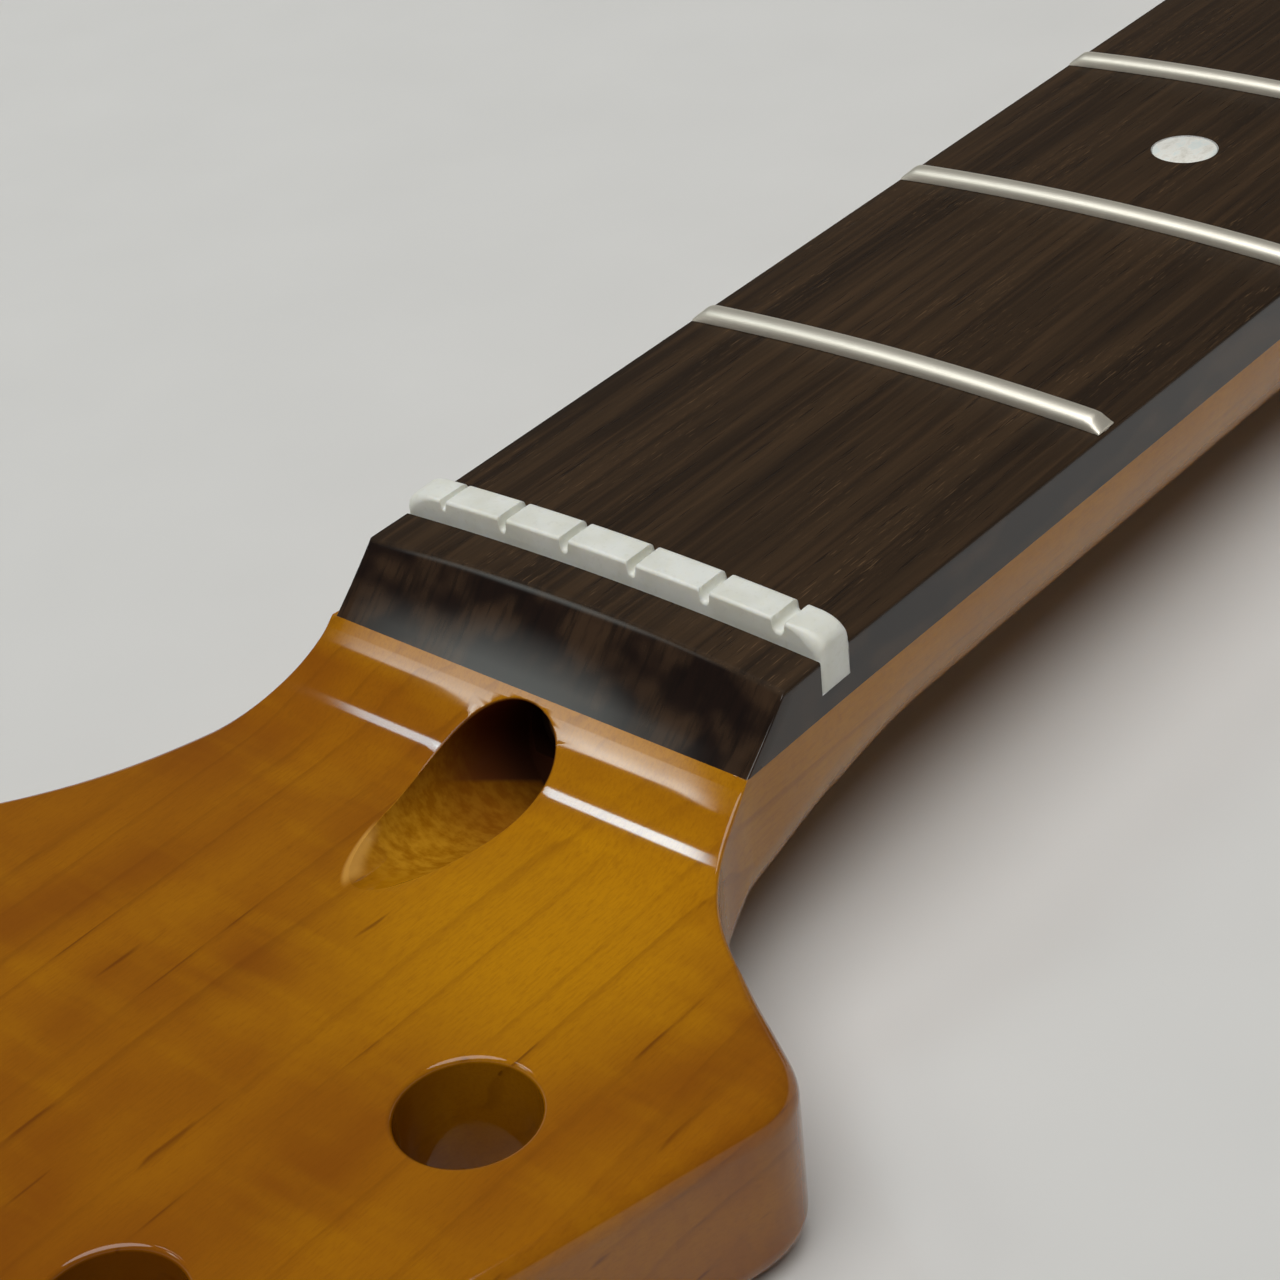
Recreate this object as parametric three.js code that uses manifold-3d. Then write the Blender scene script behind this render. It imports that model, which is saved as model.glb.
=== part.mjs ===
// A bolt-on electric guitar neck: a maple neck with a six-in-line headstock, a separate fingerboard with
// a sloping end, a slotted nut, fret wires, inlaid dots, and a two-way truss rod turned from the headstock.
//
// Lengths are in millimetres. Pieces are drawn with x from the nut towards the heel, y from the bass side
// to the treble side, and z up from the heel's back. The whole neck is then moved along x, so that its
// origin is the middle of the four screw holes in the heel's back.
import * as THREE from "three";
import { mergeVertices } from "three/addons/utils/BufferGeometryUtils.js";
import Module from "manifold-3d";

const wasm = await Module();
wasm.setup();

const DEGREE = Math.PI / 180;
const QUARTER_TURN = Math.PI / 2;

// Scale and fingerboard
const semitones = 12;
const fretCount = 22;
const scaleLength = 647.7;
const nutWidth = 42;
const widthAtOctave = 52;
const neckDepth = 25.4;
const board = { thickness: 5.5, radius: 304.8, pastLastFret: 5.6, pastNut: 3.7 };

// Nut
const nut = { thickness: 3.4, height: 2.15, seatDepth: 3.7, chamfer: 0.3, fretSideRadius: 0.6 };
const nutEnd = { roundAcross: 2.8, roundDown: 1.5 };
const stringSlot = { spread: 34.5, floorWidth: 1, depth: 0.98, wallTilt: 24 * DEGREE, fall: 3 * DEGREE };
const stringWidthShares = [1, 0.8, 0.75, 0.75, 0.65, 0.35];
const stringDepthShares = [1, 1, 1, 1, 1.05, 0.6];

// Frets
const fret = { width: 2.4, height: 1.15, endInset: 0.25, endBevel: 1.2, tangWidth: 0.5, tangDepth: 1.6 };
const fretEndHeightShare = 0.25;

// Position dots
const dottedFrets = [3, 5, 7, 9, 12, 15, 17, 19, 21];
const dot = { diameter: 6.35, thickness: 1.5, pairSpacing: 22, recess: 0.03 };
const sideDot = { diameter: 2, length: 2.5, belowTop: 2.4, pairSpacing: 7, recess: 0.05 };

// Shaft and heel
const shaft = { depthAtFirstFret: 21, depthAtOctave: 22.8 };
const shaftRoundness = 2.25;
const heel = { pastEnd: 187.3, length: 76, cornerRadius: 6, sweepLength: 42, edgeRadius: 1.5 };
const heelScrew = { across: 38.1, along: 50.8, endDistance: 13, pilotDiameter: 3.2, pilotDepth: 14 };

// Headstock
const headstock = { thickness: 15, edgeRadius: 2, backEdgeRadius: 3, sweepStart: 44, sweepEnd: 14 };
const cove = { topSlope: 46.5 * DEGREE, faceRadius: 80, footRadius: 6 };
const tuner = { pitch: 25.9, firstX: 46.2, firstY: 22.8, holeDiameter: 10, edgeMargin: 13.5, pastLast: 9 };
const tunerCount = 6;
const tunerLineAngle = 15.5 * DEGREE;

// The headstock's outline, from where it starts to flare. Each stretch is a cubic curve with a length
// along the neck and a spread across it. Its two inner points are shares of these.
const flareStart = 9;
const bassCornerLength = 4.5;
const bassFlare = { length: 21.4, spread: 16 };
const bassFlareShares = [[0.49, -0.006], [0.79, 0.4]];
const trebleFlare = { length: 35, spread: 12.9 };
const trebleFlareShares = [[0.43, 0.04], [0.8, 0.357]];
const shoulder = { length: 15, spread: 3.4 };
const shoulderShares = [[0.27, 0.93], [0.62, 1.1]];
const trebleEdge = { length: 117, spread: 10.3 };
const trebleEdgeShares = [[0.3, 0.05], [0.72, 0.86]];
const tip = { length: 10, spread: 17 };
const bassTipShares = [[0.5, 0.1], [1.1, 0.5]];
const trebleTipShares = [[0.55, 0.16], [0.98, 0.5]];

// Truss rod: a round rod that turns in two brass blocks, under a flat bar that closes its channel
const channel = { start: 1, beforeHeelEnd: 30.4, width: 6.35, depth: 10 };
const rod = { diameter: 4.8, drop: 6.7, endInset: 2 };
const rodBar = { width: 6, thickness: 3 };
const rodBlock = { width: 6, length: 14, inset: 0.6 };
const adjuster = { diameter: 8, length: 9.5, socketAcross: 5, socketDepth: 5.5, rodGrip: 3 };
const adjusterBore = { diameter: 9.5, pastNut: 16 };
const scoop = { diameter: 10.6, surfaceX: 19.3, innerX: 13 };
const scoopSlope = 21 * DEGREE;

// Clearances
const runningGap = 0.3;
const threadGap = 0.2;
const inlayGap = 0.1;
const seatGap = 0.06;
const cutOverrun = 4;
const weldDistance = 0.0001;

// How finely curves are drawn
const steps = {
  boardAcross: 10,
  fretSpans: 5,
  fretCrown: 5,
  nutAcross: 12,
  nutEnd: 4,
  nutEdge: 3,
  faceAcross: 6,
  edge: 3,
  back: 20,
  backCorner: 3,
  cove: 8,
  shaftSweep: 5,
  heelSweep: 8,
  heelCorner: 4,
};
const outlineSteps = [7, 4, 6, 7];
const roundSteps = { tuner: 24, pilot: 12, bore: 24, rod: 16, dot: 20, sideDot: 12, slot: 6, socket: 6 };

// Places that follow from the sizes
const halfNut = nutWidth / 2;
const glueZ = neckDepth - board.thickness;
const boardEndX = -(nut.thickness + board.pastNut);
const boardTailX = fretX(fretCount) + board.pastLastFret;
const nutFloorZ = neckDepth - nut.seatDepth;
const heelEndX = scaleLength - heel.pastEnd;
const heelStartX = heelEndX - heel.length;
const screwCentreX = heelEndX - heelScrew.endDistance - heelScrew.along / 2;
const rodZ = glueZ - rod.drop;
const channelFloorZ = glueZ - channel.depth;
const channelEndX = heelEndX - channel.beforeHeelEnd;
const bearingX = channel.start + rodBlock.inset;
const adjusterX = bearingX - runningGap - adjuster.length;

function fretX(number) {
  return scaleLength * (1 - 2 ** (-number / semitones));
}

function halfWidth(x) {
  const growth = (widthAtOctave - nutWidth) / 2 / fretX(semitones);
  return halfNut + growth * Math.max(x, 0);
}

// Height of the rounded top of the fingerboard at a distance y from its middle.
function boardTop(y) {
  return neckDepth - board.radius + Math.sqrt(board.radius ** 2 - y ** 2);
}

function at(x, y, z) {
  return new THREE.Vector3(x, y, z);
}

function mix(a, b, share) {
  return a + (b - a) * share;
}

function smoothStep(from, to, x) {
  const share = Math.min(1, Math.max(0, (x - from) / (to - from)));
  return share * share * (3 - 2 * share);
}

// The shares 0 to 1 in equal steps, with both ends.
function sharesOf(count) {
  return Array.from({ length: count + 1 }, (_, i) => i / count);
}

// The slope behind the nut, seen from the side: a wide hollow arc that starts on the fingerboard's end,
// and a small arc at its foot that runs out level into the headstock's face.
const slope = (() => {
  const { topSlope, faceRadius, footRadius } = cove;
  const rise = neckDepth - headstock.thickness;
  const footCosine = (rise - footRadius + faceRadius * Math.cos(topSlope)) / (faceRadius - footRadius);
  const footAngle = Math.acos(footCosine);
  const centreX = boardEndX - faceRadius * Math.sin(topSlope);
  const centreZ = neckDepth + faceRadius * Math.cos(topSlope);
  const joinX = centreX + faceRadius * Math.sin(footAngle);
  const footX = joinX - footRadius * Math.sin(footAngle);
  const glueX = centreX + Math.sqrt(faceRadius ** 2 - (centreZ - glueZ) ** 2);
  const height = (x) => {
    if (x <= footX) return headstock.thickness;
    if (x > joinX) return centreZ - Math.sqrt(faceRadius ** 2 - (x - centreX) ** 2);
    return headstock.thickness + footRadius - Math.sqrt(footRadius ** 2 - (x - footX) ** 2);
  };
  return { footX, glueX, height };
})();

// A cubic curve that runs away from the nut, and by its spread to one side.
function sweptCurve(start, size, innerShares, side) {
  const point = ([along, aside]) =>
    new THREE.Vector2(start.x - size.length * along, start.y + side * size.spread * aside);
  return new THREE.CubicBezierCurve(start, point(innerShares[0]), point(innerShares[1]), point([1, 1]));
}

// The headstock's outline, in stretches on the bass side and as many on the treble side.
const outline = (() => {
  const along = new THREE.Vector2(-Math.cos(tunerLineAngle), Math.sin(tunerLineAngle));
  const outwards = new THREE.Vector2(-Math.sin(tunerLineAngle), -Math.cos(tunerLineAngle));
  const onTunerLine = (distance) =>
    new THREE.Vector2(-tuner.firstX, -tuner.firstY).addScaledVector(along, distance);
  const holes = Array.from({ length: tunerCount }, (_, i) => onTunerLine(i * tuner.pitch));

  const bassRun = sweptCurve(new THREE.Vector2(-flareStart, -halfNut), bassFlare, bassFlareShares, -1);
  const towardsCorner = bassRun.v3.clone().sub(bassRun.v2).normalize();
  const toEdge = holes[0].clone().addScaledVector(outwards, tuner.edgeMargin).sub(bassRun.v3);
  const cornerReach = toEdge.cross(along) / towardsCorner.cross(along);
  const corner = bassRun.v3.clone().addScaledVector(towardsCorner, cornerReach);
  const edgeStart = corner.clone().addScaledVector(along, bassCornerLength);
  const lastReach = (tunerCount - 1) * tuner.pitch + tuner.pastLast;
  const edgeEnd = onTunerLine(lastReach).addScaledVector(outwards, tuner.edgeMargin);

  const trebleRun = sweptCurve(new THREE.Vector2(-flareStart, halfNut), trebleFlare, trebleFlareShares, 1);
  const shoulderRun = sweptCurve(trebleRun.v3, shoulder, shoulderShares, 1);
  const trebleEdgeRun = sweptCurve(shoulderRun.v3, trebleEdge, trebleEdgeShares, -1);
  const bassTip = sweptCurve(edgeEnd, tip, bassTipShares, 1);
  const toTip = trebleEdgeRun.v3.clone().sub(bassTip.v3);
  const trebleTip = sweptCurve(trebleEdgeRun.v3, { length: toTip.x, spread: toTip.y }, trebleTipShares, -1);

  const bassCorner = new THREE.QuadraticBezierCurve(bassRun.v3, corner, edgeStart);
  return {
    bass: [bassRun, bassCorner, new THREE.LineCurve(edgeStart, edgeEnd), bassTip],
    treble: [trebleRun, shoulderRun, trebleEdgeRun, trebleTip],
    holes,
  };
})();

// Where along a flare, which always runs away from the nut, it passes x.
function shareAtX(curve, x) {
  let near = 0;
  let far = 1;
  for (let halving = 0; halving < 40; halving++) {
    const middle = (near + far) / 2;
    if (curve.getPoint(middle).x > x) near = middle;
    else far = middle;
  }
  return near;
}

// The two edges of the neck straight across from each other at x, up to the foot of the slope.
function edgesAt(x) {
  if (x >= -flareStart) {
    return { bass: new THREE.Vector2(x, -halfWidth(x)), treble: new THREE.Vector2(x, halfWidth(x)) };
  }
  const onFlare = (curve) => new THREE.Vector2(x, curve.getPoint(shareAtX(curve, x)).y);
  return { bass: onFlare(outline.bass[0]), treble: onFlare(outline.treble[0]) };
}

// A closed body through rings of as many points each. Each ring runs anticlockwise about the way forward,
// and its first and last are closed by a fan about a point that sees all of the ring.
function loft(rings, centreOf = middleOf) {
  const count = rings[0].length;
  const faces = [];
  for (let i = 0; i + 1 < rings.length; i++) {
    for (let j = 0; j < count; j++) {
      const a = i * count + j;
      const b = i * count + ((j + 1) % count);
      faces.push(a, b, b + count, a, b + count, a + count);
    }
  }
  const lastStart = (rings.length - 1) * count;
  const centre = rings.length * count;
  for (let j = 0; j < count; j++) {
    const next = (j + 1) % count;
    faces.push(next, j, centre, lastStart + j, lastStart + next, centre + 1);
  }
  const points = [...rings.flat(), centreOf(rings[0]), centreOf(rings.at(-1))];
  const positions = points.flatMap((p) => p.toArray());
  const geometry = new THREE.BufferGeometry();
  geometry.setAttribute("position", new THREE.Float32BufferAttribute(positions, 3));
  geometry.setIndex(faces);
  return geometry;
}

function middleOf(points) {
  return points.reduce((sum, p) => sum.add(p), at(0, 0, 0)).divideScalar(points.length);
}

function toSolid(geometry, matrix = new THREE.Matrix4()) {
  const bare = new THREE.BufferGeometry();
  bare.setAttribute("position", geometry.getAttribute("position").clone());
  bare.setIndex(geometry.index);
  bare.applyMatrix4(matrix);
  const merged = mergeVertices(bare, weldDistance);
  const corners = merged.index.array;
  const triangles = [];
  for (let i = 0; i < corners.length; i += 3) {
    const [a, b, c] = corners.subarray(i, i + 3);
    if (a !== b && b !== c && c !== a) triangles.push(a, b, c);
  }
  return new wasm.Manifold(
    new wasm.Mesh({
      numProp: 3,
      vertProperties: merged.getAttribute("position").array,
      triVerts: new Uint32Array(triangles),
    }),
  );
}

function toGeometry(solid) {
  const { numProp, vertProperties, triVerts } = solid.getMesh();
  const positions = [];
  for (let i = 0; i < vertProperties.length; i += numProp) {
    positions.push(...vertProperties.subarray(i, i + 3));
  }
  const geometry = new THREE.BufferGeometry();
  geometry.setAttribute("position", new THREE.Float32BufferAttribute(positions, 3));
  geometry.setIndex(new THREE.BufferAttribute(new Uint32Array(triVerts), 1));
  geometry.computeVertexNormals();
  return geometry;
}

function cut(solid, cutters) {
  return cutters.reduce((rest, cutter) => rest.subtract(cutter), solid);
}

// A cylinder from one point to another.
function cylinder(from, to, diameter, sides) {
  const axis = to.clone().sub(from);
  const turn = new THREE.Quaternion().setFromUnitVectors(at(0, 1, 0), axis.clone().normalize());
  const middle = from.clone().add(to).multiplyScalar(1 / 2);
  const geometry = new THREE.CylinderGeometry(diameter / 2, diameter / 2, axis.length(), sides);
  return toSolid(geometry, new THREE.Matrix4().makeRotationFromQuaternion(turn).setPosition(middle));
}

function box(fromX, toX, fromY, toY, fromZ, toZ) {
  const middle = new THREE.Vector3(fromX + toX, fromY + toY, fromZ + toZ).multiplyScalar(1 / 2);
  const geometry = new THREE.BoxGeometry(toX - fromX, toY - fromY, toZ - fromZ);
  return toSolid(geometry, new THREE.Matrix4().setPosition(middle));
}

function finish(name, color, roughness, metalness) {
  return new THREE.MeshStandardMaterial({ name, color, roughness, metalness });
}

const maple = finish("maple", 0xa8690f, 0.12, 0);
const rosewood = finish("rosewood", 0x3a2c22, 0.5, 0);
const bone = finish("bone", 0xdcdbcf, 0.4, 0);
const nickel = finish("nickel", 0xcbc6ba, 0.22, 1);
const pearl = finish("pearl", 0xe9e6dc, 0.25, 0);
const steel = finish("steel", 0x70757a, 0.4, 1);
const brass = finish("brass", 0xb08d3c, 0.35, 1);

function piece(name, solid, material) {
  const mesh = new THREE.Mesh(toGeometry(solid), material);
  mesh.name = name;
  return mesh;
}

// Height of the neck's back: level on the headstock and the heel, and swept up to the shaft between them.
function backZ(x) {
  const depthShare = (x - fretX(1)) / (fretX(semitones) - fretX(1));
  const shaftZ = neckDepth - mix(shaft.depthAtFirstFret, shaft.depthAtOctave, depthShare);
  return shaftZ * (1 - slabShare(x));
}

// How far the section at x is from the shaft's rounded one, 0, to the slab of the headstock or heel, 1.
function slabShare(x) {
  const headstockShare = smoothStep(headstock.sweepEnd, -headstock.sweepStart, x);
  return headstockShare + smoothStep(heelStartX - heel.sweepLength, heelStartX, x);
}

function faceZ(x) {
  return x >= slope.glueX ? glueZ : slope.height(x);
}

// The back of the shaft, as shares across from -1 to 1 and down from 0 to 1.
function shaftBack(i) {
  const turn = (i / steps.back) * Math.PI;
  const power = 2 / shaftRoundness;
  return {
    across: Math.sign(Math.cos(turn)) * Math.abs(Math.cos(turn)) ** power,
    down: Math.sin(turn) ** power,
  };
}

// The back of the headstock or heel in the same shares: square sides, rounded edges and a flat back.
function slabBack(i, halfAcross, depth, edgeRadius) {
  const half = steps.back / 2;
  const side = i > half ? -1 : 1;
  const fromSide = i > half ? steps.back - i : i;
  if (fromSide === 0) return { across: side, down: 0 };
  const acrossRadius = edgeRadius / halfAcross;
  const turn = Math.min((fromSide - 1) / steps.backCorner, 1) * QUARTER_TURN;
  const pastCorner = Math.max(fromSide - 1 - steps.backCorner, 0) / (half - 1 - steps.backCorner);
  return {
    across: side * (1 - acrossRadius * (1 - Math.cos(turn))) * (1 - pastCorner),
    down: 1 - (edgeRadius / depth) * (1 - Math.sin(turn)),
  };
}

// One ring of the neck between an edge point on the treble side and the matching one on the bass side.
function neckRing({ bass, treble }) {
  const width = bass.distanceTo(treble);
  const middleX = (bass.x + treble.x) / 2;
  const roundShare = smoothStep(slope.glueX, slope.footX, middleX);
  const edgeRadius = Math.min(headstock.edgeRadius, width / 4) * roundShare;
  const edgeShare = edgeRadius / width;
  const point = (share, heightAt) => {
    const x = mix(treble.x, bass.x, share);
    return at(x, mix(treble.y, bass.y, share), heightAt(x));
  };
  const onEdge = (i, share) => {
    const turn = (i / steps.edge) * QUARTER_TURN;
    const drop = edgeRadius * (1 - Math.cos(turn));
    return point(share(edgeShare * (1 - Math.sin(turn))), (x) => faceZ(x) - drop);
  };
  const face = sharesOf(steps.faceAcross).map((share) => point(mix(edgeShare, 1 - edgeShare, share), faceZ));
  const bassEdge = [];
  const trebleEdgePoints = [];
  for (let i = 1; i < steps.edge; i++) {
    bassEdge.push(onEdge(i, (inset) => 1 - inset));
    trebleEdgePoints.unshift(onEdge(i, (inset) => inset));
  }
  const depth = faceZ(middleX) - edgeRadius - backZ(middleX);
  const slabEdge = middleX < 0 ? headstock.backEdgeRadius : heel.edgeRadius;
  const slabRadius = Math.min(slabEdge, width / 4);
  const back = sharesOf(steps.back).map((_, i) => {
    const round = shaftBack(i);
    const slab = slabBack(i, width / 2, depth, slabRadius);
    const across = mix(round.across, slab.across, slabShare(middleX));
    const down = mix(round.down, slab.down, slabShare(middleX));
    return point((1 + across) / 2, (x) => mix(faceZ(x) - edgeRadius, backZ(x), down));
  });
  return [...face, ...bassEdge, ...back, ...trebleEdgePoints];
}

// Matching edge points from the tip of the headstock to the end of the heel.
function neckStations() {
  const stations = [];
  outlineSteps.forEach((count, stretch) => {
    const [bass, treble] = [outline.bass[stretch], outline.treble[stretch]];
    const first = stretch === 0 ? [bass, treble].map((curve) => shareAtX(curve, slope.footX)) : [0, 0];
    const isTip = stretch === outlineSteps.length - 1;
    for (const share of sharesOf(count).slice(1, isTip ? -1 : undefined)) {
      const eased = isTip ? Math.sin(share * QUARTER_TURN) : share;
      stations.unshift({
        bass: bass.getPoint(mix(first[0], 1, eased)),
        treble: treble.getPoint(mix(first[1], 1, eased)),
      });
    }
  });
  const straightPlaces = [
    ...sharesOf(steps.cove).map((share) => mix(slope.footX, slope.glueX, share)),
    ...sharesOf(steps.shaftSweep).map((share) => mix(-flareStart, headstock.sweepEnd, share)),
    0,
    fretX(1),
    ...sharesOf(steps.heelSweep).map((share) => mix(heelStartX - heel.sweepLength, heelStartX, share)),
  ];
  straightPlaces.sort((a, b) => a - b);
  for (const x of straightPlaces) stations.push(edgesAt(x));
  for (const share of sharesOf(steps.heelCorner)) {
    const turn = share * QUARTER_TURN;
    const { bass, treble } = edgesAt(heelEndX - heel.cornerRadius * (1 - Math.sin(turn)));
    const inset = heel.cornerRadius * (1 - Math.cos(turn));
    stations.push({ bass: bass.setY(bass.y + inset), treble: treble.setY(treble.y - inset) });
  }
  return stations;
}

// The hollow in front of the truss rod's adjuster: a bore, and a round cut that slants up out of the slope.
function adjusterAccess() {
  const bore = cylinder(
    at(-adjusterBore.pastNut, 0, rodZ),
    at(bearingX, 0, rodZ),
    adjusterBore.diameter,
    roundSteps.bore,
  );
  const inwards = at(Math.cos(scoopSlope), 0, -Math.sin(scoopSlope));
  const onFace = at(-scoop.surfaceX, 0, headstock.thickness);
  const inner = onFace.clone().addScaledVector(inwards, (scoop.surfaceX - scoop.innerX) / inwards.x);
  const outer = onFace.clone().addScaledVector(inwards, -scoop.diameter / Math.sin(scoopSlope));
  return [bore, cylinder(inner, outer, scoop.diameter, roundSteps.bore)];
}

function neckSolid() {
  const tunerHoles = outline.holes.map((hole) =>
    cylinder(
      at(hole.x, hole.y, -cutOverrun),
      at(hole.x, hole.y, headstock.thickness + cutOverrun),
      tuner.holeDiameter,
      roundSteps.tuner,
    ),
  );
  const pilots = [];
  for (const along of [-1, 1]) {
    for (const across of [-1, 1]) {
      const x = screwCentreX + (along * heelScrew.along) / 2;
      const y = (across * heelScrew.across) / 2;
      const top = at(x, y, heelScrew.pilotDepth);
      pilots.push(cylinder(at(x, y, -cutOverrun), top, heelScrew.pilotDiameter, roundSteps.pilot));
    }
  }
  const halfChannel = channel.width / 2;
  const rodChannel = box(
    channel.start,
    channelEndX,
    -halfChannel,
    halfChannel,
    channelFloorZ,
    glueZ + cutOverrun,
  );
  const body = toSolid(loft(neckStations().map(neckRing)));
  return cut(body, [...tunerHoles, ...pilots, rodChannel, ...adjusterAccess()]);
}

// The places of the dots along the neck: midway between two frets, and how many lie side by side there.
const dotPlaces = dottedFrets.map((number) => ({
  label: String(number).padStart(2, "0"),
  x: (fretX(number - 1) + fretX(number)) / 2,
  paired: number % semitones === 0,
}));

const faceDots = dotPlaces.flatMap(({ label, x, paired }) => {
  if (!paired) return [{ name: `dot_${label}`, x, y: 0 }];
  return [
    { name: `dot_${label}_bass`, x, y: -dot.pairSpacing / 2 },
    { name: `dot_${label}_treble`, x, y: dot.pairSpacing / 2 },
  ];
});

const sideDots = dotPlaces.flatMap(({ label, x, paired }) => {
  if (!paired) return [{ name: `side_dot_${label}`, x }];
  return [
    { name: `side_dot_${label}_nut_side`, x: x - sideDot.pairSpacing / 2 },
    { name: `side_dot_${label}_heel_side`, x: x + sideDot.pairSpacing / 2 },
  ];
});

// A dot, or its pocket where it is given room, square to the rounded top of the fingerboard.
function dotSolid({ x, y }, room, above) {
  const tilt = Math.asin(y / board.radius);
  const upwards = at(0, Math.sin(tilt), Math.cos(tilt));
  const top = at(x, y, boardTop(y)).addScaledVector(upwards, above);
  const floor = at(x, y, boardTop(y)).addScaledVector(upwards, -(dot.recess + dot.thickness + room));
  return cylinder(floor, top, dot.diameter + 2 * room, roundSteps.dot);
}

function sideDotSolid({ x }, room, outside) {
  const side = halfWidth(x);
  const z = boardTop(side) - sideDot.belowTop;
  const inner = at(x, -side + sideDot.recess + sideDot.length + room, z);
  return cylinder(inner, at(x, -side - outside, z), sideDot.diameter + 2 * room, roundSteps.sideDot);
}

function slotSolid(fromX, toX, floorZ) {
  const reach = halfWidth(toX) + cutOverrun;
  return box(fromX, toX, -reach, reach, floorZ, neckDepth + cutOverrun);
}

function fretSlot(number) {
  const x = fretX(number);
  const half = fret.tangWidth / 2 + inlayGap;
  return slotSolid(x - half, x + half, boardTop(halfWidth(x)) - fret.tangDepth - inlayGap);
}

function boardSolid() {
  const ring = (x) => {
    const half = halfWidth(x);
    const top = sharesOf(steps.boardAcross).map((share) => mix(half, -half, share));
    return [at(x, -half, glueZ), at(x, half, glueZ), ...top.map((y) => at(x, y, boardTop(y)))];
  };
  const blankStart = slope.glueX - cutOverrun;
  const blank = toSolid(loft([blankStart, 0, boardTailX].map(ring)));

  const curveStart = boardEndX + cutOverrun / 2;
  const curve = [
    ...sharesOf(steps.cove).map((share) => mix(curveStart, slope.glueX, share)),
    slope.glueX - cutOverrun / 2,
  ];
  const side = [
    ...curve.map((x) => [x, slope.height(x)]),
    [blankStart - cutOverrun, slope.height(curve.at(-1))],
    [blankStart - cutOverrun, slope.height(curveStart)],
  ];
  const reach = halfNut + cutOverrun;
  const aboveSlope = toSolid(loft([-reach, reach].map((y) => side.map(([x, z]) => at(x, y, z)))));

  return cut(blank, [
    aboveSlope,
    slotSolid(-nut.thickness - seatGap, seatGap, nutFloorZ),
    ...Array.from({ length: fretCount }, (_, i) => fretSlot(i + 1)),
    ...faceDots.map((place) => dotSolid(place, inlayGap, cutOverrun)),
    ...sideDots.map((place) => sideDotSolid(place, inlayGap, cutOverrun)),
  ]);
}

// The nut's outline at x, with its top lowered and its ends drawn in by an inset.
function nutRing(x, inset) {
  const half = halfNut - inset;
  const innerHalf = half - nutEnd.roundAcross;
  const landTop = (y) => boardTop(y) + nut.height - inset;
  const corner = sharesOf(steps.nutEnd).map((share) => {
    const turn = share * QUARTER_TURN;
    const y = innerHalf + nutEnd.roundAcross * Math.cos(turn);
    return at(x, y, landTop(innerHalf) - nutEnd.roundDown * (1 - Math.sin(turn)));
  });
  const lands = sharesOf(steps.nutAcross).slice(1, -1).map((share) => {
    const y = mix(innerHalf, -innerHalf, share);
    return at(x, y, landTop(y));
  });
  const otherCorner = corner.map((p) => at(x, -p.y, p.z)).reverse();
  return [at(x, -halfNut, nutFloorZ), at(x, halfNut, nutFloorZ), ...corner, ...lands, ...otherCorner];
}

// A groove for one string, which falls towards the headstock. Its floor is round, and its walls lean out.
function stringGroove(y, floorWidth, depth) {
  const radius = floorWidth / 2;
  const reach = nut.thickness + cutOverrun;
  const tilt = stringSlot.wallTilt;
  const wall = { across: radius * Math.cos(tilt), up: radius * (1 - Math.sin(tilt)) };
  const topAcross = wall.across + (cutOverrun - wall.up) * Math.tan(tilt);
  const section = new THREE.Shape();
  section.moveTo(-topAcross, cutOverrun);
  section.lineTo(-wall.across, wall.up);
  section.absarc(0, radius, radius, Math.PI + tilt, 2 * Math.PI - tilt);
  section.lineTo(topAcross, cutOverrun);
  const geometry = new THREE.ExtrudeGeometry(section, {
    depth: 2 * reach,
    steps: 1,
    bevelEnabled: false,
    curveSegments: roundSteps.slot,
  });
  geometry.translate(0, 0, -reach);
  geometry.deleteAttribute("normal").deleteAttribute("uv");
  const alongNeck = new THREE.Matrix4().makeBasis(at(0, 1, 0), at(0, 0, 1), at(1, 0, 0));
  const floor = boardTop(y) + nut.height - depth;
  const fall = new THREE.Matrix4().makeRotationY(-stringSlot.fall).setPosition(at(0, y, floor));
  return toSolid(mergeVertices(geometry), fall.multiply(alongNeck));
}

function nutSolid() {
  const fretSide = sharesOf(steps.nutEdge).map((share) => {
    const turn = share * QUARTER_TURN;
    const x = -nut.fretSideRadius * (1 - Math.sin(turn));
    return nutRing(x, nut.fretSideRadius * (1 - Math.cos(turn)));
  });
  const headSide = [nutRing(-nut.thickness, nut.chamfer), nutRing(-nut.thickness + nut.chamfer, 0)];
  const blank = toSolid(loft([...headSide, ...fretSide]));
  const grooves = stringWidthShares.map((share, i) => {
    const y = stringSlot.spread * (i / (stringWidthShares.length - 1) - 1 / 2);
    return stringGroove(y, stringSlot.floorWidth * share, stringSlot.depth * stringDepthShares[i]);
  });
  return cut(blank, grooves);
}

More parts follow.
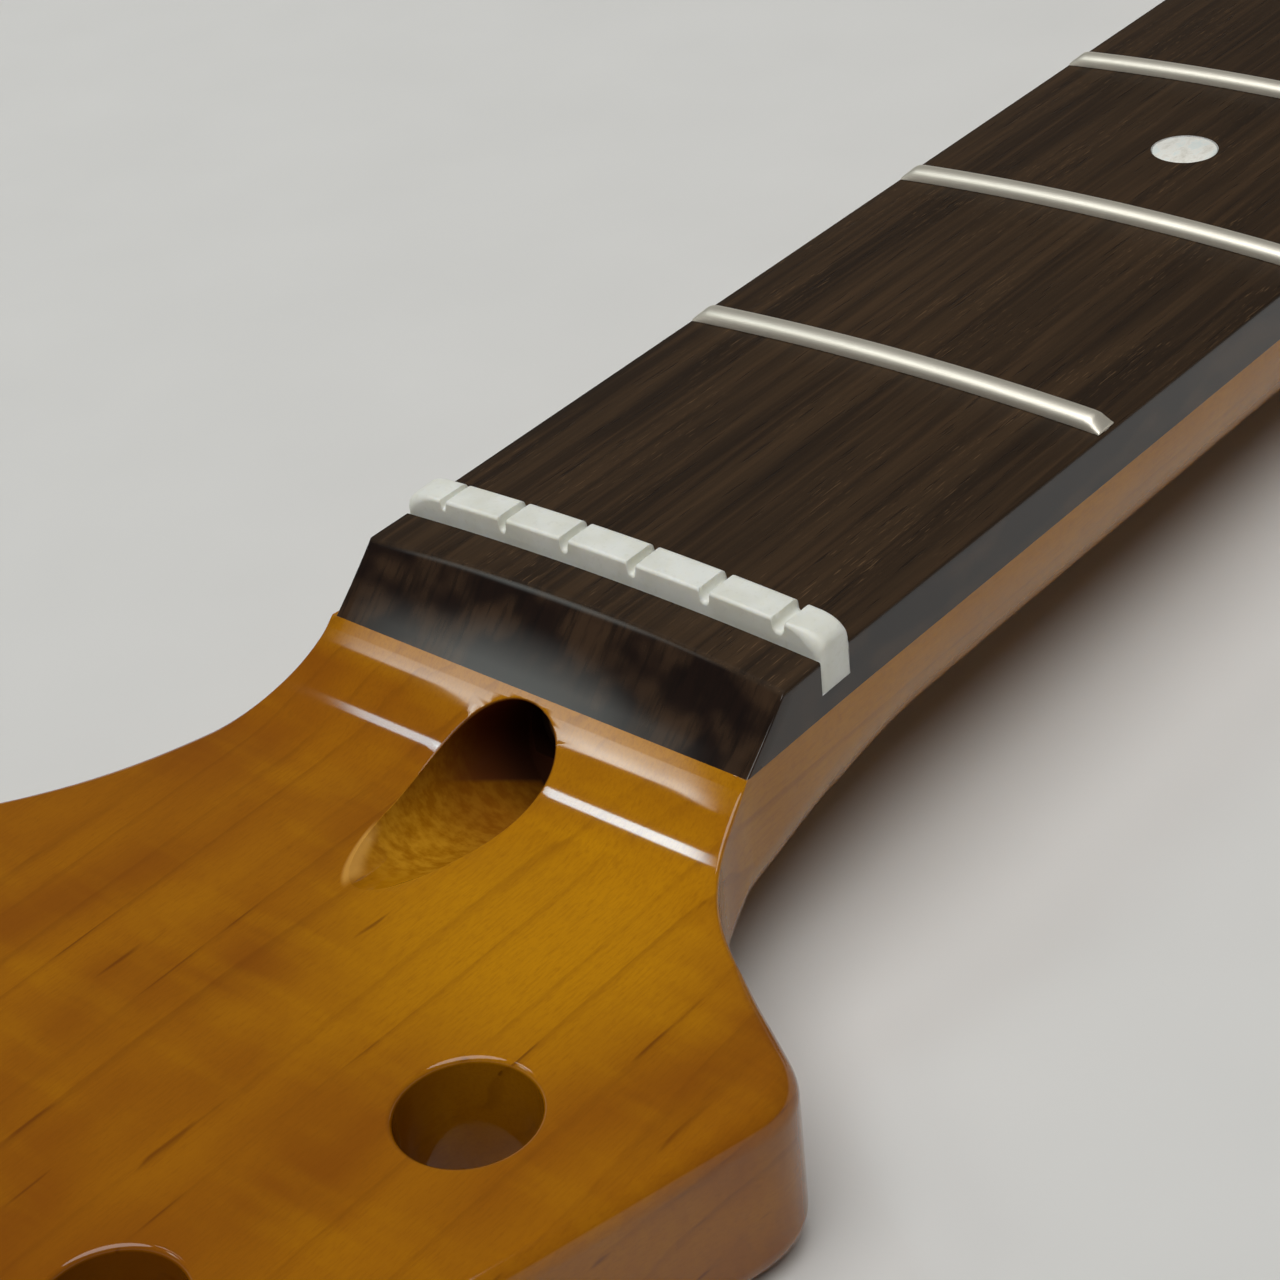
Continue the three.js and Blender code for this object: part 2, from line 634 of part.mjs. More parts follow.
// A fret wire with a rounded crown, a tang below it, and ends filed down to the sides of the fingerboard.
function fretSolid(number) {
  const x = fretX(number);
  const halfLength = halfWidth(x) - fret.endInset;
  const halfTang = fret.tangWidth / 2;
  const ring = (y, heightShare) => {
    const base = boardTop(y) + seatGap;
    const crown = sharesOf(steps.fretCrown).map((share) => {
      const turn = (1 - share) * Math.PI;
      return at(x + (fret.width / 2) * Math.cos(turn), y, base + fret.height * heightShare * Math.sin(turn));
    });
    const tangFloor = boardTop(y) - fret.tangDepth;
    return [
      ...crown,
      at(x + halfTang, y, base),
      at(x + halfTang, y, tangFloor),
      at(x - halfTang, y, tangFloor),
      at(x - halfTang, y, base),
    ];
  };
  const full = halfLength - fret.endBevel;
  const spans = sharesOf(steps.fretSpans).map((share) => ring(mix(-full, full, share), 1));
  const rings = [ring(-halfLength, fretEndHeightShare), ...spans, ring(halfLength, fretEndHeightShare)];
  const insideCrown = (points) => middleOf(points.slice(0, steps.fretCrown + 1));
  return toSolid(loft(rings, insideCrown));
}

function rodSolid() {
  const end = channelEndX - rodBlock.inset - rod.endInset;
  const start = adjusterX + adjuster.length - adjuster.rodGrip + threadGap;
  return cylinder(at(start, 0, rodZ), at(end, 0, rodZ), rod.diameter, roundSteps.rod);
}

// The nut that turns the rod, with a hexagonal socket that faces the headstock.
function adjusterSolid() {
  const inner = adjusterX + adjuster.length;
  const body = cylinder(at(adjusterX, 0, rodZ), at(inner, 0, rodZ), adjuster.diameter, roundSteps.bore);
  const socketDiameter = adjuster.socketAcross / Math.cos(Math.PI / roundSteps.socket);
  const socket = cylinder(
    at(adjusterX - cutOverrun, 0, rodZ),
    at(adjusterX + adjuster.socketDepth, 0, rodZ),
    socketDiameter,
    roundSteps.socket,
  );
  const grip = cylinder(
    at(inner - adjuster.rodGrip, 0, rodZ),
    at(inner + cutOverrun, 0, rodZ),
    rod.diameter + 2 * threadGap,
    roundSteps.bore,
  );
  return cut(body, [socket, grip]);
}

const barFloorZ = glueZ - seatGap - rodBar.thickness;
const blockStarts = { head: bearingX, heel: channelEndX - rodBlock.inset - rodBlock.length };

function blockSolid(startX) {
  const endX = startX + rodBlock.length;
  const half = rodBlock.width / 2;
  const hole = cylinder(
    at(startX - cutOverrun, 0, rodZ),
    at(endX + cutOverrun, 0, rodZ),
    rod.diameter + 2 * threadGap,
    roundSteps.bore,
  );
  return cut(box(startX, endX, -half, half, channelFloorZ, barFloorZ), [hole]);
}

function barSolid() {
  const half = rodBar.width / 2;
  const endX = blockStarts.heel + rodBlock.length;
  return box(blockStarts.head, endX, -half, half, barFloorZ, glueZ - seatGap);
}

const neck = new THREE.Group();
neck.add(
  piece("neck", neckSolid(), maple),
  piece("fingerboard", boardSolid(), rosewood),
  piece("nut", nutSolid(), bone),
);
for (let number = 1; number <= fretCount; number++) {
  neck.add(piece(`fret_${String(number).padStart(2, "0")}`, fretSolid(number), nickel));
}
for (const place of faceDots) neck.add(piece(place.name, dotSolid(place, 0, -dot.recess), pearl));
for (const place of sideDots) neck.add(piece(place.name, sideDotSolid(place, 0, -sideDot.recess), pearl));
neck.add(
  piece("truss_rod", rodSolid(), steel),
  piece("truss_rod_adjuster", adjusterSolid(), steel),
  piece("truss_rod_bar", barSolid(), steel),
  piece("truss_block_head", blockSolid(blockStarts.head), brass),
  piece("truss_block_heel", blockSolid(blockStarts.heel), brass),
);

const part = new THREE.Group();
neck.position.x = -screwCentreX;
part.add(neck);
export default part;
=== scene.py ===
# %% [markdown]
# # A bare electric guitar neck
#
# The part is a maple neck with a dark fingerboard, seen close up from the headstock, where the flat face
# rises in a hollow slope to the fingerboard's end and the nut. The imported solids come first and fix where
# everything is. Then each visible piece is made again with finer shapes and given its own finish.

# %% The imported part
import math

import bmesh
import bpy
import numpy as np
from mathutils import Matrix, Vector


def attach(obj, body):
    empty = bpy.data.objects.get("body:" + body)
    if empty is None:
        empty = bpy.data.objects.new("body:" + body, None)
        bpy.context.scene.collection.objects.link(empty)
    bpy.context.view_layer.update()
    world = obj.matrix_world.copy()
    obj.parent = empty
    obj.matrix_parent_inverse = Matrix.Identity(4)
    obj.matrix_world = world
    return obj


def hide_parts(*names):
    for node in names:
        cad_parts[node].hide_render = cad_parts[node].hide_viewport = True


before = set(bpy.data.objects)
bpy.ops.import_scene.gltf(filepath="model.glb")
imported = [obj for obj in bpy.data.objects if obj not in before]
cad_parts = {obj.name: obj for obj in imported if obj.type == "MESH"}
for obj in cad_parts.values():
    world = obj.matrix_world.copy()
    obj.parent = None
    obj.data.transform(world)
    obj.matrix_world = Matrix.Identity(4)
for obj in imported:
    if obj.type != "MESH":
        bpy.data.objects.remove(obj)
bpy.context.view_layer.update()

print("nodes:", len(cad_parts))

# %% [markdown]
# ## Sizes
#
# A neck is drawn in millimetres from the nut, because its frets, its widths and its slope are all measured
# from there: x runs towards the heel, y to the treble side, z up from the flat back. Blender works in
# metres from the middle of the heel's screw holes, so one small function takes points from the one to the
# other. Keeping the drawing's own numbers makes every size below one that a maker would know.

# %% Sizes of the neck, in millimetres
SCALE, FRETS = 647.7, 22
NUT_WIDTH, OCTAVE_WIDTH = 42.0, 52.0
DEPTH, BOARD_DEPTH, TOP_RADIUS = 25.4, 5.5, 304.8
NUT_THICKNESS, NUT_FLOOR = 3.4, 21.7
SCREWS_X = 422.0
GLUE_Z = DEPTH - BOARD_DEPTH
BOARD_START = -7.1
FACE_Z, ROD_Z, BORE_RADIUS = 15.0, 13.2, 4.75
OVERHANG, HEEL_TO_BRIDGE, HEEL_LENGTH = 5.6, 187.3, 76


def fret_x(number):
    return SCALE * (1 - 2 ** (-number / 12))


WIDENING = (OCTAVE_WIDTH - NUT_WIDTH) / 2 / fret_x(12)
BOARD_END = fret_x(FRETS) + OVERHANG
HEEL_END = SCALE - HEEL_TO_BRIDGE
HEEL_START = HEEL_END - HEEL_LENGTH


def half_width(x):
    return NUT_WIDTH / 2 + WIDENING * np.maximum(x, 0)


def board_top(y):
    return DEPTH - TOP_RADIUS + np.sqrt(TOP_RADIUS**2 - np.square(y))


def to_metres(points):
    return (np.asarray(points, float) - (SCREWS_X, 0, 0)) / 1000


print(f"fret 1 at {fret_x(1):.1f} mm, board from {BOARD_START} to {BOARD_END:.1f} mm")

# %% [markdown]
# ## The camera
#
# The photograph was taken with a fairly long lens, from behind and above the headstock's bass side, and
# tilted a little. Its place was worked out from the nut's slots and the fingerboard's edges. A camera that
# looks down its own -Z axis is turned with one call that aims it, and then rolled about that axis.

# %% The camera at the photograph's place
CAMERA_PLACE = Vector((-0.55294, -0.12086, 0.13546))
CAMERA_AIM = Vector((0.61291, 0.56490, -0.55247))
CAMERA_ROLL, LENS, SENSOR = math.radians(-6.474), 75.0, 36.0

camera = bpy.data.objects.new("camera", bpy.data.cameras.new("camera"))
bpy.context.scene.collection.objects.link(camera)
camera.data.lens, camera.data.sensor_width = LENS, SENSOR
camera.data.clip_start = 0.01
camera.location = CAMERA_PLACE
level_look = CAMERA_AIM.to_track_quat("-Z", "Y").to_matrix().to_4x4()
camera.rotation_euler = (level_look @ level_look.Rotation(CAMERA_ROLL, 4, "Z")).to_euler()
bpy.context.scene.camera = camera
print("camera", [round(v, 4) for v in camera.location], "lens", camera.data.lens)

# %% [markdown]
# ## Node trees as sums
#
# Both Blender's materials and its Geometry Nodes are trees of small nodes. Written out one by one they
# hide what they work out. Here one class stands for a socket and turns +, -, * and / into Math nodes, so
# that a pattern reads like the sum it is, and one method adds any other node with its settings and inputs.

# %% A socket that can be used in a sum
class Reading:
    """A socket that can be used in a sum like a number."""

    def __init__(self, tree, socket):
        self.tree, self.socket = tree, socket

    def math(self, operation, *others):
        return self.tree.add("ShaderNodeMath", {"operation": operation}, dict(enumerate((self, *others))))

    def __add__(self, other):
        return self.math("ADD", other)

    def __sub__(self, other):
        return self.math("SUBTRACT", other)

    def __mul__(self, other):
        return self.math("MULTIPLY", other)

    def __truediv__(self, other):
        return self.math("DIVIDE", other)

    def __radd__(self, other):
        return self + other

    def __rmul__(self, other):
        return self * other

    def __pow__(self, other):
        return self.math("POWER", other)

    def __rsub__(self, other):
        return self * -1 + other

    def __rtruediv__(self, other):
        return self.math("POWER", -1) * other

    def smooth(self, low, high):
        """0 up to low and 1 from high, with a soft step between them."""
        limits = {"Value": self, "From Min": low, "From Max": high}
        return self.tree.add("ShaderNodeMapRange", {"interpolation_type": "SMOOTHSTEP"}, limits)


# %% A tree that any node can be added to
class Tree:
    """A node tree, with one method that adds any node to it."""

    def __init__(self, node_tree):
        self.nodes, self.links = node_tree.nodes, node_tree.links

    def add(self, kind, settings=None, values=None, output=0):
        node = self.nodes.new(kind)
        for name, setting in (settings or {}).items():
            if name == "stops":
                set_stops(node.color_ramp, setting)
            else:
                setattr(node, name, setting)
        for key, value in (values or {}).items():
            if isinstance(value, Reading):
                self.links.new(value.socket, node.inputs[key])
            else:
                node.inputs[key].default_value = value
        return Reading(self, node.outputs[output]) if node.outputs else node

    def mix(self, share, first, second, blend="MIX"):
        settings = {"data_type": "RGBA", "blend_type": blend}
        return self.add("ShaderNodeMix", settings, {0: share, 6: first, 7: second}, output=2)

    def layers(self, colour, *coats):
        """A colour with others laid over it in turn, each by its own share."""
        for share, coat in coats:
            colour = self.mix(share, colour, srgb(*coat))
        return colour

    def curve(self, place, *stops):
        """A value that runs through the given (place, value) pairs."""
        greys = [(at, (value, value, value, 1.0)) for at, value in stops]
        return self.add("ShaderNodeValToRGB", {"stops": greys}, {0: place})

    def vectors(self, operation, *inputs, output=0):
        return self.add("ShaderNodeVectorMath", {"operation": operation}, dict(enumerate(inputs)), output)

    def dot(self, vector, way):
        return self.vectors("DOT_PRODUCT", vector, way, output=1)

    def length(self, vector):
        return self.vectors("LENGTH", vector, output=1)

    def noise(self, place, stretch, detail, roughness=0.5):
        """Noise with its own scale along each axis. A small one draws it out that way."""
        values = {"Vector": self.vectors("MULTIPLY", place, stretch), "Scale": 1.0}
        return self.add("ShaderNodeTexNoise", {}, {**values, "Detail": detail, "Roughness": roughness})

    def part(self, vector, axis):
        return self.add("ShaderNodeSeparateXYZ", {}, {0: vector}, output=axis)

    def vector(self, x, y, z):
        return self.add("ShaderNodeCombineXYZ", {}, {0: x, 1: y, 2: z})


# %% Stops and colours
def set_stops(ramp, stops):
    while len(ramp.elements) < len(stops):
        ramp.elements.new(1.0)
    for element, (place, colour) in zip(ramp.elements, stops):
        element.position, element.color = place, colour


def srgb(red, green, blue):
    """A colour as it is read off a screen, from 0 to 255, in the linear light that nodes work in."""
    shares = [v / 255 for v in (red, green, blue)]
    return (*[s / 12.92 if s <= 0.04045 else ((s + 0.055) / 1.055) ** 2.4 for s in shares], 1.0)


print("middle grey is", round(srgb(128, 128, 128)[0], 3), "in linear light")

# %% [markdown]
# ## Patterns in millimetres
#
# Wood is a solid pattern: a cut in any direction shows the same rings. So its finish reads Object
# coordinates, which go through the whole piece, and not a flat picture wrapped round it. The helper below
# starts a material and gives its coordinates in the drawing's millimetres.

# %% A material's beginning
def start_material(name):
    material = bpy.data.materials.new(name)
    material.use_nodes = True
    material.node_tree.nodes.clear()
    tree = Tree(material.node_tree)
    object_place = tree.add("ShaderNodeTexCoord", output=3)
    return material, tree, tree.vectors("MULTIPLY_ADD", object_place, (1000, 1000, 1000), (SCREWS_X, 0, 0))


def surface_of(tree, values, height=None, depth=0.0):
    """A surface. A height in millimetres gives it its relief."""
    if height is not None:
        bump = {"Height": height, "Distance": depth / 1000, "Strength": 1.0}
        values = {**values, "Normal": tree.add("ShaderNodeBump", {}, bump)}
    return tree.add("ShaderNodeBsdfPrincipled", {}, values)


def end_material(tree, surface):
    tree.add("ShaderNodeOutputMaterial", {}, {"Surface": surface})


# %% [markdown]
# ## Amber maple
#
# Maple is pale and even, with thin darker lines where one year's growth ends, short dark flecks along
# them, and soft patches and ripples in its figure. A tinted lacquer turns it amber. The slope and a patch
# at the flare beside it get painted light: a lighter colour for the sheen where they face the lamps, with the
# ripples painted stronger in that patch. The rings are drawn as distances from a far-off axis, so that they
# run straight along the neck and curve across its end.

# %% The maple's rings and figure
SCOOP_START = (-16.73, -0.22, 15.0)
SCOOP_SLOPE, SCOOP_RADIUS = math.radians(18.2), 5.2
SCOOP_WAY = (math.cos(SCOOP_SLOPE), 0.0, -math.sin(SCOOP_SLOPE))
SCOOP_LIFT = (math.sin(SCOOP_SLOPE), 0.0, math.cos(SCOOP_SLOPE))
PAINTED_SHEEN_SPOT = (-29, -14, 15)

maple, tree, place = start_material("amber maple")
sway = tree.noise(place, (0.009, 0.02, 0.02), 1.0) * 6.0
across = tree.part(place, 1) + sway + 95.0
upwards = tree.part(place, 2) + 70.0
from_pith = (across * across + upwards * upwards).math("SQRT")
ring_wobble = tree.noise(place, (0.008, 0.2, 0.2), 2.0) * 5.0
year = ((from_pith + ring_wobble) / 3.3).math("FRACT")
late_wood = year.smooth(0.7, 0.95) * (1.0 - year.smooth(0.95, 1.0))
dark_core = year.smooth(0.86, 0.95) * (1.0 - year.smooth(0.95, 0.99))
strength = tree.noise(place, (0.02, 0.3, 0.3), 2.0).smooth(0.35, 0.7)
fleck = tree.noise(place, (0.12, 0.9, 0.9), 1.0).smooth(0.6, 0.7)
fibres = tree.noise(place, (0.5, 5.0, 5.0), 3.0, 0.65)
ray_marks = tree.noise(place, (1.6, 3.4, 1.2), 2.0, 0.7)
patches = tree.noise(place, (0.05, 0.09, 0.09), 2.0)
ripples = tree.noise(place, (0.35, 0.07, 0.1), 2.0)
# Painted sheen: a lighter patch on the face and a lighter slope, painted into the colour where they face the lamps.
painted_sheen = 1.0 - tree.length(tree.vectors("SUBTRACT", place, PAINTED_SHEEN_SPOT)).smooth(4.0, 22.0)
painted_slope_light = tree.part(place, 0).smooth(-16.0, -13.5)
on_face = 1.0 - tree.part(place, 0).smooth(-23.0, -19.5)
ground = tree.layers(
    tree.mix(patches.smooth(0.28, 0.72), srgb(132, 73, 5), srgb(157, 97, 5)),
    (painted_sheen * 0.75, (192, 132, 3)),
    (painted_slope_light * 0.4, (196, 136, 6)),
    (ripples.smooth(0.45, 0.75) * (painted_sheen * 0.22 + 0.15), (196, 136, 5)),
    (ray_marks.smooth(0.45, 0.8) * 0.22, (122, 68, 5)),
    (fibres.smooth(0.4, 0.75) * 0.3, (122, 68, 5)),
    (late_wood * strength * 0.35, (108, 56, 4)),
    (dark_core * fleck * on_face * 0.6, (92, 42, 4)),
)
print("bare maple:", len(maple.node_tree.nodes), "nodes")

# %% [markdown]
# The slanted cut was made with a round cutter, and its wall shows end grain: mottled and with less gloss.
# Its colour also holds painted shade: it is browner deeper in the cut and higher up its wall, and a painted
# shadow darkens the wall below the rim and all of it near the truss rod. Distances from the cut's own axis
# find its wall and its rim, where the lacquer is scorched at the top, and a painted highlight lies on the rim
# near the tip. Everything else gets a clear coat over the wood's duller surface, which gives the sharp reflections.

# %% The slanted cut and the clear coat
from_start = tree.vectors("SUBTRACT", place, SCOOP_START)
along, lift = tree.dot(from_start, SCOOP_WAY), tree.dot(from_start, SCOOP_LIFT)
from_axis = (tree.length(from_start) ** 2.0 - along * along).math("SQRT")


def past_wall(low, high):
    """0 up to one distance outside the cut's wall and 1 from another, in millimetres."""
    return from_axis.smooth(SCOOP_RADIUS + low, SCOOP_RADIUS + high)


in_scoop = (1.0 - past_wall(0.01, 0.08)) * along.smooth(-16.0, -9.0)
from_rod = tree.length(tree.vector(0.0, tree.part(place, 1), tree.part(place, 2) - ROD_Z))
in_bore = (1.0 - from_rod.smooth(BORE_RADIUS + 0.05, BORE_RADIUS + 0.15)) * tree.part(place, 0).smooth(-10.0, -9.5)
in_the_cut = in_scoop.math("MAXIMUM", in_bore)
burnt_rim = (1.0 - past_wall(0.1, 0.28)) * along.smooth(-4.0, 0.0)
# Painted highlight: a pale line on the rounded rim near the tip, painted into the colour.
by_the_tip = (1.0 - along.smooth(-11.5, -9.0)) * tree.part(place, 1).smooth(0.3, 1.5)
painted_rim_highlight = by_the_tip * (1.0 - past_wall(0.1, 0.3)) * tree.part(place, 2).smooth(14.3, 14.8)
mottle = tree.noise(place, (1.1, 0.8, 0.8), 3.0, 0.6)
# Painted shadow: the rim's shadow across the wall, and the dark deep end by the bore, are painted into the colour.
in_shade = (lift + along * 0.2).smooth(-2.65, -2.25) * along.smooth(-3.5, 3.7)
in_shade = in_shade.math("MAXIMUM", along.smooth(8.0, 8.6))
shade = tree.mix(along.smooth(3.0, 8.0), srgb(92, 50, 24), srgb(66, 38, 24))
cut_colour = tree.mix(mottle.smooth(0.3, 0.7), srgb(146, 92, 8), srgb(180, 126, 26))
# Painted shade: the cut is painted browner deeper in and higher up its wall.
painted_recess_shade = (along.smooth(-7.5, 1.0) * 0.6).math("MAXIMUM", lift.smooth(-5.0, -1.0) * 0.4)
cut_colour = tree.mix(painted_recess_shade, cut_colour, srgb(110, 56, 14))
cut_colour = tree.mix(in_shade, cut_colour, shade)
ground = tree.mix(burnt_rim * 0.8, ground, srgb(84, 40, 8))
maple_colour = tree.layers(tree.mix(in_the_cut, ground, cut_colour), (painted_rim_highlight * 0.5, (226, 172, 86)))
maple_values = {
    "Base Color": maple_colour,
    "Roughness": fibres * 0.2 + 0.38,
    "Specular IOR Level": 0.0,
    "Coat Weight": (1.0 - in_the_cut * 0.7) * (1.0 - burnt_rim * 0.7),
    "Coat Roughness": 0.05,
    "Coat IOR": 1.5,
}
end_material(tree, surface_of(tree, maple_values))
print("amber maple:", len(maple.node_tree.nodes), "nodes")

# %% [markdown]
# ## Dark fingerboard wood
#
# The fingerboard's top is bare and only sanded, so it is dull, with long open pores and soft brown bands.
# Its sloping end and its long sides were lacquered with the neck: there the same wood is nearly black and
# reflects. One mask, how far a point lies under the rounded top, tells the two apart.

# %% The fingerboard's finish
rosewood, tree, place = start_material("dark fingerboard wood")
across = tree.part(place, 1)
depth_below = (TOP_RADIUS**2 - across * across).math("SQRT") + (DEPTH - TOP_RADIUS) - tree.part(place, 2)
lacquered = depth_below.smooth(0.12, 0.4)
bands = tree.noise(place, (0.012, 0.34, 0.34), 3.0, 0.55)
streaks = tree.noise(place, (0.035, 1.3, 1.3), 3.0, 0.6)
fibres = tree.noise(place, (0.3, 7.0, 7.0), 2.0, 0.6)
pores = tree.noise(place, (0.16, 3.4, 3.4), 2.0, 0.6).smooth(0.62, 0.72)
strokes = tree.noise(place, (0.5, 9.0, 9.0), 1.0).smooth(0.64, 0.74)
stroke_patches = tree.noise(place, (0.05, 0.16, 0.16), 1.0).smooth(0.45, 0.6)
wood = tree.layers(
    tree.mix(bands.smooth(0.3, 0.7), srgb(36, 26, 17), srgb(58, 43, 28)),
    (streaks.smooth(0.45, 0.7) * 0.45, (76, 56, 37)),
    ((1.0 - streaks.smooth(0.3, 0.5)) * 0.35, (31, 23, 17)),
    (fibres * 0.35, (50, 38, 28)),
    (pores * 0.6, (24, 17, 13)),
    (strokes * stroke_patches * 0.55, (104, 80, 56)),
)
broad = tree.noise(place, (0.12, 0.17, 0.25), 2.0)
cut_fibres = tree.noise(place, (0.15, 1.7, 0.3), 3.0, 0.6)
soaked = tree.mix(broad.smooth(0.42, 0.62), srgb(26, 15, 11), srgb(58, 42, 29))
soaked = tree.mix(cut_fibres.smooth(0.42, 0.7) * 0.6, soaked, srgb(14, 8, 7))
dull = {"Base Color": wood, "Roughness": 0.6, "Specular IOR Level": 0.1}
bare = surface_of(tree, dull, fibres * 0.25 - pores, 0.04)
coat = {"Coat Weight": 1.0, "Coat Roughness": 0.06, "Coat IOR": 1.5}
glossy = surface_of(tree, {"Base Color": soaked, "Roughness": 0.6, "Specular IOR Level": 0.0, **coat})
end_material(tree, tree.add("ShaderNodeMixShader", {}, {0: lacquered, 1: bare, 2: glossy}))
print("dark fingerboard wood:", len(rosewood.node_tree.nodes), "nodes")

# %% [markdown]
# ## Nut, frets, dots and truss rod
#
# The nut is a bone-like synthetic with a soft polish. Frets are drawn nickel silver wire, polished along
# their length, so their fine scratches follow y. Dots have the cloudy shine of pearl. The truss rod's
# pieces are plain steel and sawn brass. Each of them gets a little variation in colour, gloss or relief.

# %% The small pieces' finishes
bone, tree, place = start_material("polished bone white")
clouds = tree.noise(place, (0.25, 0.25, 0.25), 3.0)
specks = tree.noise(place, (2.5, 2.5, 2.5), 2.0)
bone_colour = tree.mix(clouds.smooth(0.35, 0.7), srgb(229, 230, 223), srgb(219, 219, 208))
bone_colour = tree.mix(specks.smooth(0.55, 0.75) * 0.25, bone_colour, srgb(204, 202, 188))
soft_inside = {"Subsurface Weight": 0.5, "Subsurface Radius": (1.0, 0.9, 0.7), "Subsurface Scale": 0.0008}
bone_values = {"Base Color": bone_colour, "Roughness": specks * 0.15 + 0.36, **soft_inside}
end_material(tree, surface_of(tree, bone_values, specks, 0.01))

pearl, tree, place = start_material("pearl white")
layers = tree.noise(place, (0.5, 0.9, 0.6), 4.0, 0.65)
pearl_stops = [(0.3, srgb(214, 210, 198)), (0.5, srgb(238, 236, 228)), (0.62, srgb(222, 230, 226)),
               (0.75, srgb(240, 230, 222))]
pearl_colour = tree.add("ShaderNodeValToRGB", {"stops": pearl_stops}, {0: layers})
end_material(tree, surface_of(tree, {"Base Color": pearl_colour, "Roughness": layers * 0.15 + 0.16, "IOR": 1.6}))


def metal(name, stretch, light, dark, roughness, spread, depth):
    """A worked metal. The marks of its tool change its colour, its gloss and its relief."""
    material, tree, place = start_material(name)
    marks = tree.noise(place, stretch, 3.0)
    colour = tree.mix(marks, srgb(*light), srgb(*dark))
    values = {"Base Color": colour, "Metallic": 1.0, "Roughness": marks * spread + roughness}
    end_material(tree, surface_of(tree, values, marks, depth))
    return material


fret_metal = metal("polished nickel silver", (9.0, 0.4, 9.0), (246, 240, 226), (228, 222, 208), 0.46, 0.14, 0.003)
rod_steel = metal("plain rod steel", (6.0, 0.7, 0.7), (150, 152, 156), (112, 114, 118), 0.25, 0.25, 0.01)
brass = metal("sawn brass", (5.0, 0.5, 0.5), (190, 158, 84), (156, 124, 58), 0.3, 0.25, 0.02)
print("finishes:", [m.name for m in (maple, rosewood, bone, fret_metal, pearl, rod_steel, brass)])

# %% [markdown]
# ## Making and carving meshes
#
# A piece is often a blank with things cut out of it, as in the workshop. The helpers build a mesh from
# points in millimetres, carve it with others, and turn what the modifiers made into a plain mesh. Smooth
# shading with sharp edges above an angle keeps curves smooth and corners crisp.

# %% New, frozen and carved pieces
def new_piece(name, points, faces, material):
    mesh = bpy.data.meshes.new(name)
    mesh.from_pydata(to_metres(points).tolist(), [], faces)
    piece = bpy.data.objects.new(name, mesh)
    bpy.context.scene.collection.objects.link(piece)
    mesh.materials.append(material)
    return piece


def freeze(piece):
    """Makes what a piece's modifiers give its plain mesh."""
    graph = bpy.context.evaluated_depsgraph_get()
    made = bpy.data.meshes.new_from_object(piece.evaluated_get(graph), depsgraph=graph)
    piece.modifiers.clear()
    piece.data = made
    return piece


def carve(piece, *cutters):
    for cutter in cutters:
        cutter.data.materials[0] = piece.data.materials[0]
        carving = piece.modifiers.new("carving", "BOOLEAN")
        carving.object, carving.operation, carving.solver = cutter, "DIFFERENCE", "MANIFOLD"
        freeze(piece)
        bpy.data.objects.remove(cutter)


def smooth_shade(piece, sharp_above):
    piece.data.shade_smooth()
    piece.data.set_sharp_from_angle(angle=math.radians(sharp_above))


# %% [markdown]
# Three ways of drawing a shape do for nearly everything here. A loft is a skin over rings of as many points
# each. A turned piece is a loft whose rings are circles, as on a lathe. A block is a box between two corners,
# and makes a plain cutter.

# %% Lofts, turned pieces and blocks
def ring_faces(count, around):
    """The faces between rings of as many points each, with the first and the last ring closed."""
    faces = []
    for i in range(count - 1):
        for j in range(around):
            a, b = i * around + j, i * around + (j + 1) % around
            faces.append((a, b, b + around, a + around))
    return [*faces, tuple(reversed(range(around))), tuple(range((count - 1) * around, count * around))]


def lofted(name, rings, material):
    """A closed piece through rings that run anticlockwise about the way forward."""
    points = np.concatenate(rings)
    piece = new_piece(name, points, ring_faces(len(rings), len(rings[0])), material)
    tidy = bmesh.new()
    tidy.from_mesh(piece.data)
    bmesh.ops.remove_doubles(tidy, verts=tidy.verts, dist=1e-7)
    tidy.to_mesh(piece.data)
    tidy.free()
    return piece


def turned(name, start, axis, profile, around, material=None):
    """A solid of revolution: a profile of (distance along, radius) pairs about an axis."""
    along = np.array(axis, float) / np.linalg.norm(axis)
    side = np.cross(along, (0, 0, 1) if abs(along[2]) < 0.9 else (1, 0, 0))
    side /= np.linalg.norm(side)
    other = np.cross(along, side)
    turns = np.arange(around) * math.tau / around
    circle = np.outer(np.cos(turns), side) + np.outer(np.sin(turns), other)
    rings = [np.array(start) + along * distance + circle * radius for distance, radius in profile]
    return lofted(name, rings, material or maple)


def block(name, low, high):
    x, y, z = np.meshgrid(*zip(low, high), indexing="ij")
    points = np.stack([x.ravel(), y.ravel(), z.ravel()], 1)
    faces = [(0, 1, 3, 2), (4, 6, 7, 5), (0, 4, 5, 1), (2, 3, 7, 6), (0, 2, 6, 4), (1, 5, 7, 3)]
    return new_piece(name, points, faces, maple)


# %% [markdown]
# ## The slope behind the nut
#
# The face of the headstock rises to the fingerboard in two arcs that meet smoothly: a small one at the
# foot and a wide, hollow one above it, which goes on over the fingerboard's end. The two reflections of
# the lamps lie on these arcs, so they are worked out exactly and not smoothed by eye.

# %% The slope's two arcs
TOP_SLOPE, HOLLOW_RADIUS, FOOT_RADIUS = math.radians(46.5), 80.0, 18.0
hollow_x = BOARD_START - HOLLOW_RADIUS * math.sin(TOP_SLOPE)
hollow_z = DEPTH + HOLLOW_RADIUS * math.cos(TOP_SLOPE)
foot_angle = math.acos((hollow_z - FACE_Z - FOOT_RADIUS) / (HOLLOW_RADIUS - FOOT_RADIUS))
JOIN_X = hollow_x + HOLLOW_RADIUS * math.sin(foot_angle)
FOOT_X = JOIN_X - FOOT_RADIUS * math.sin(foot_angle)
GLUE_X = hollow_x + math.sqrt(HOLLOW_RADIUS**2 - (hollow_z - GLUE_Z) ** 2)


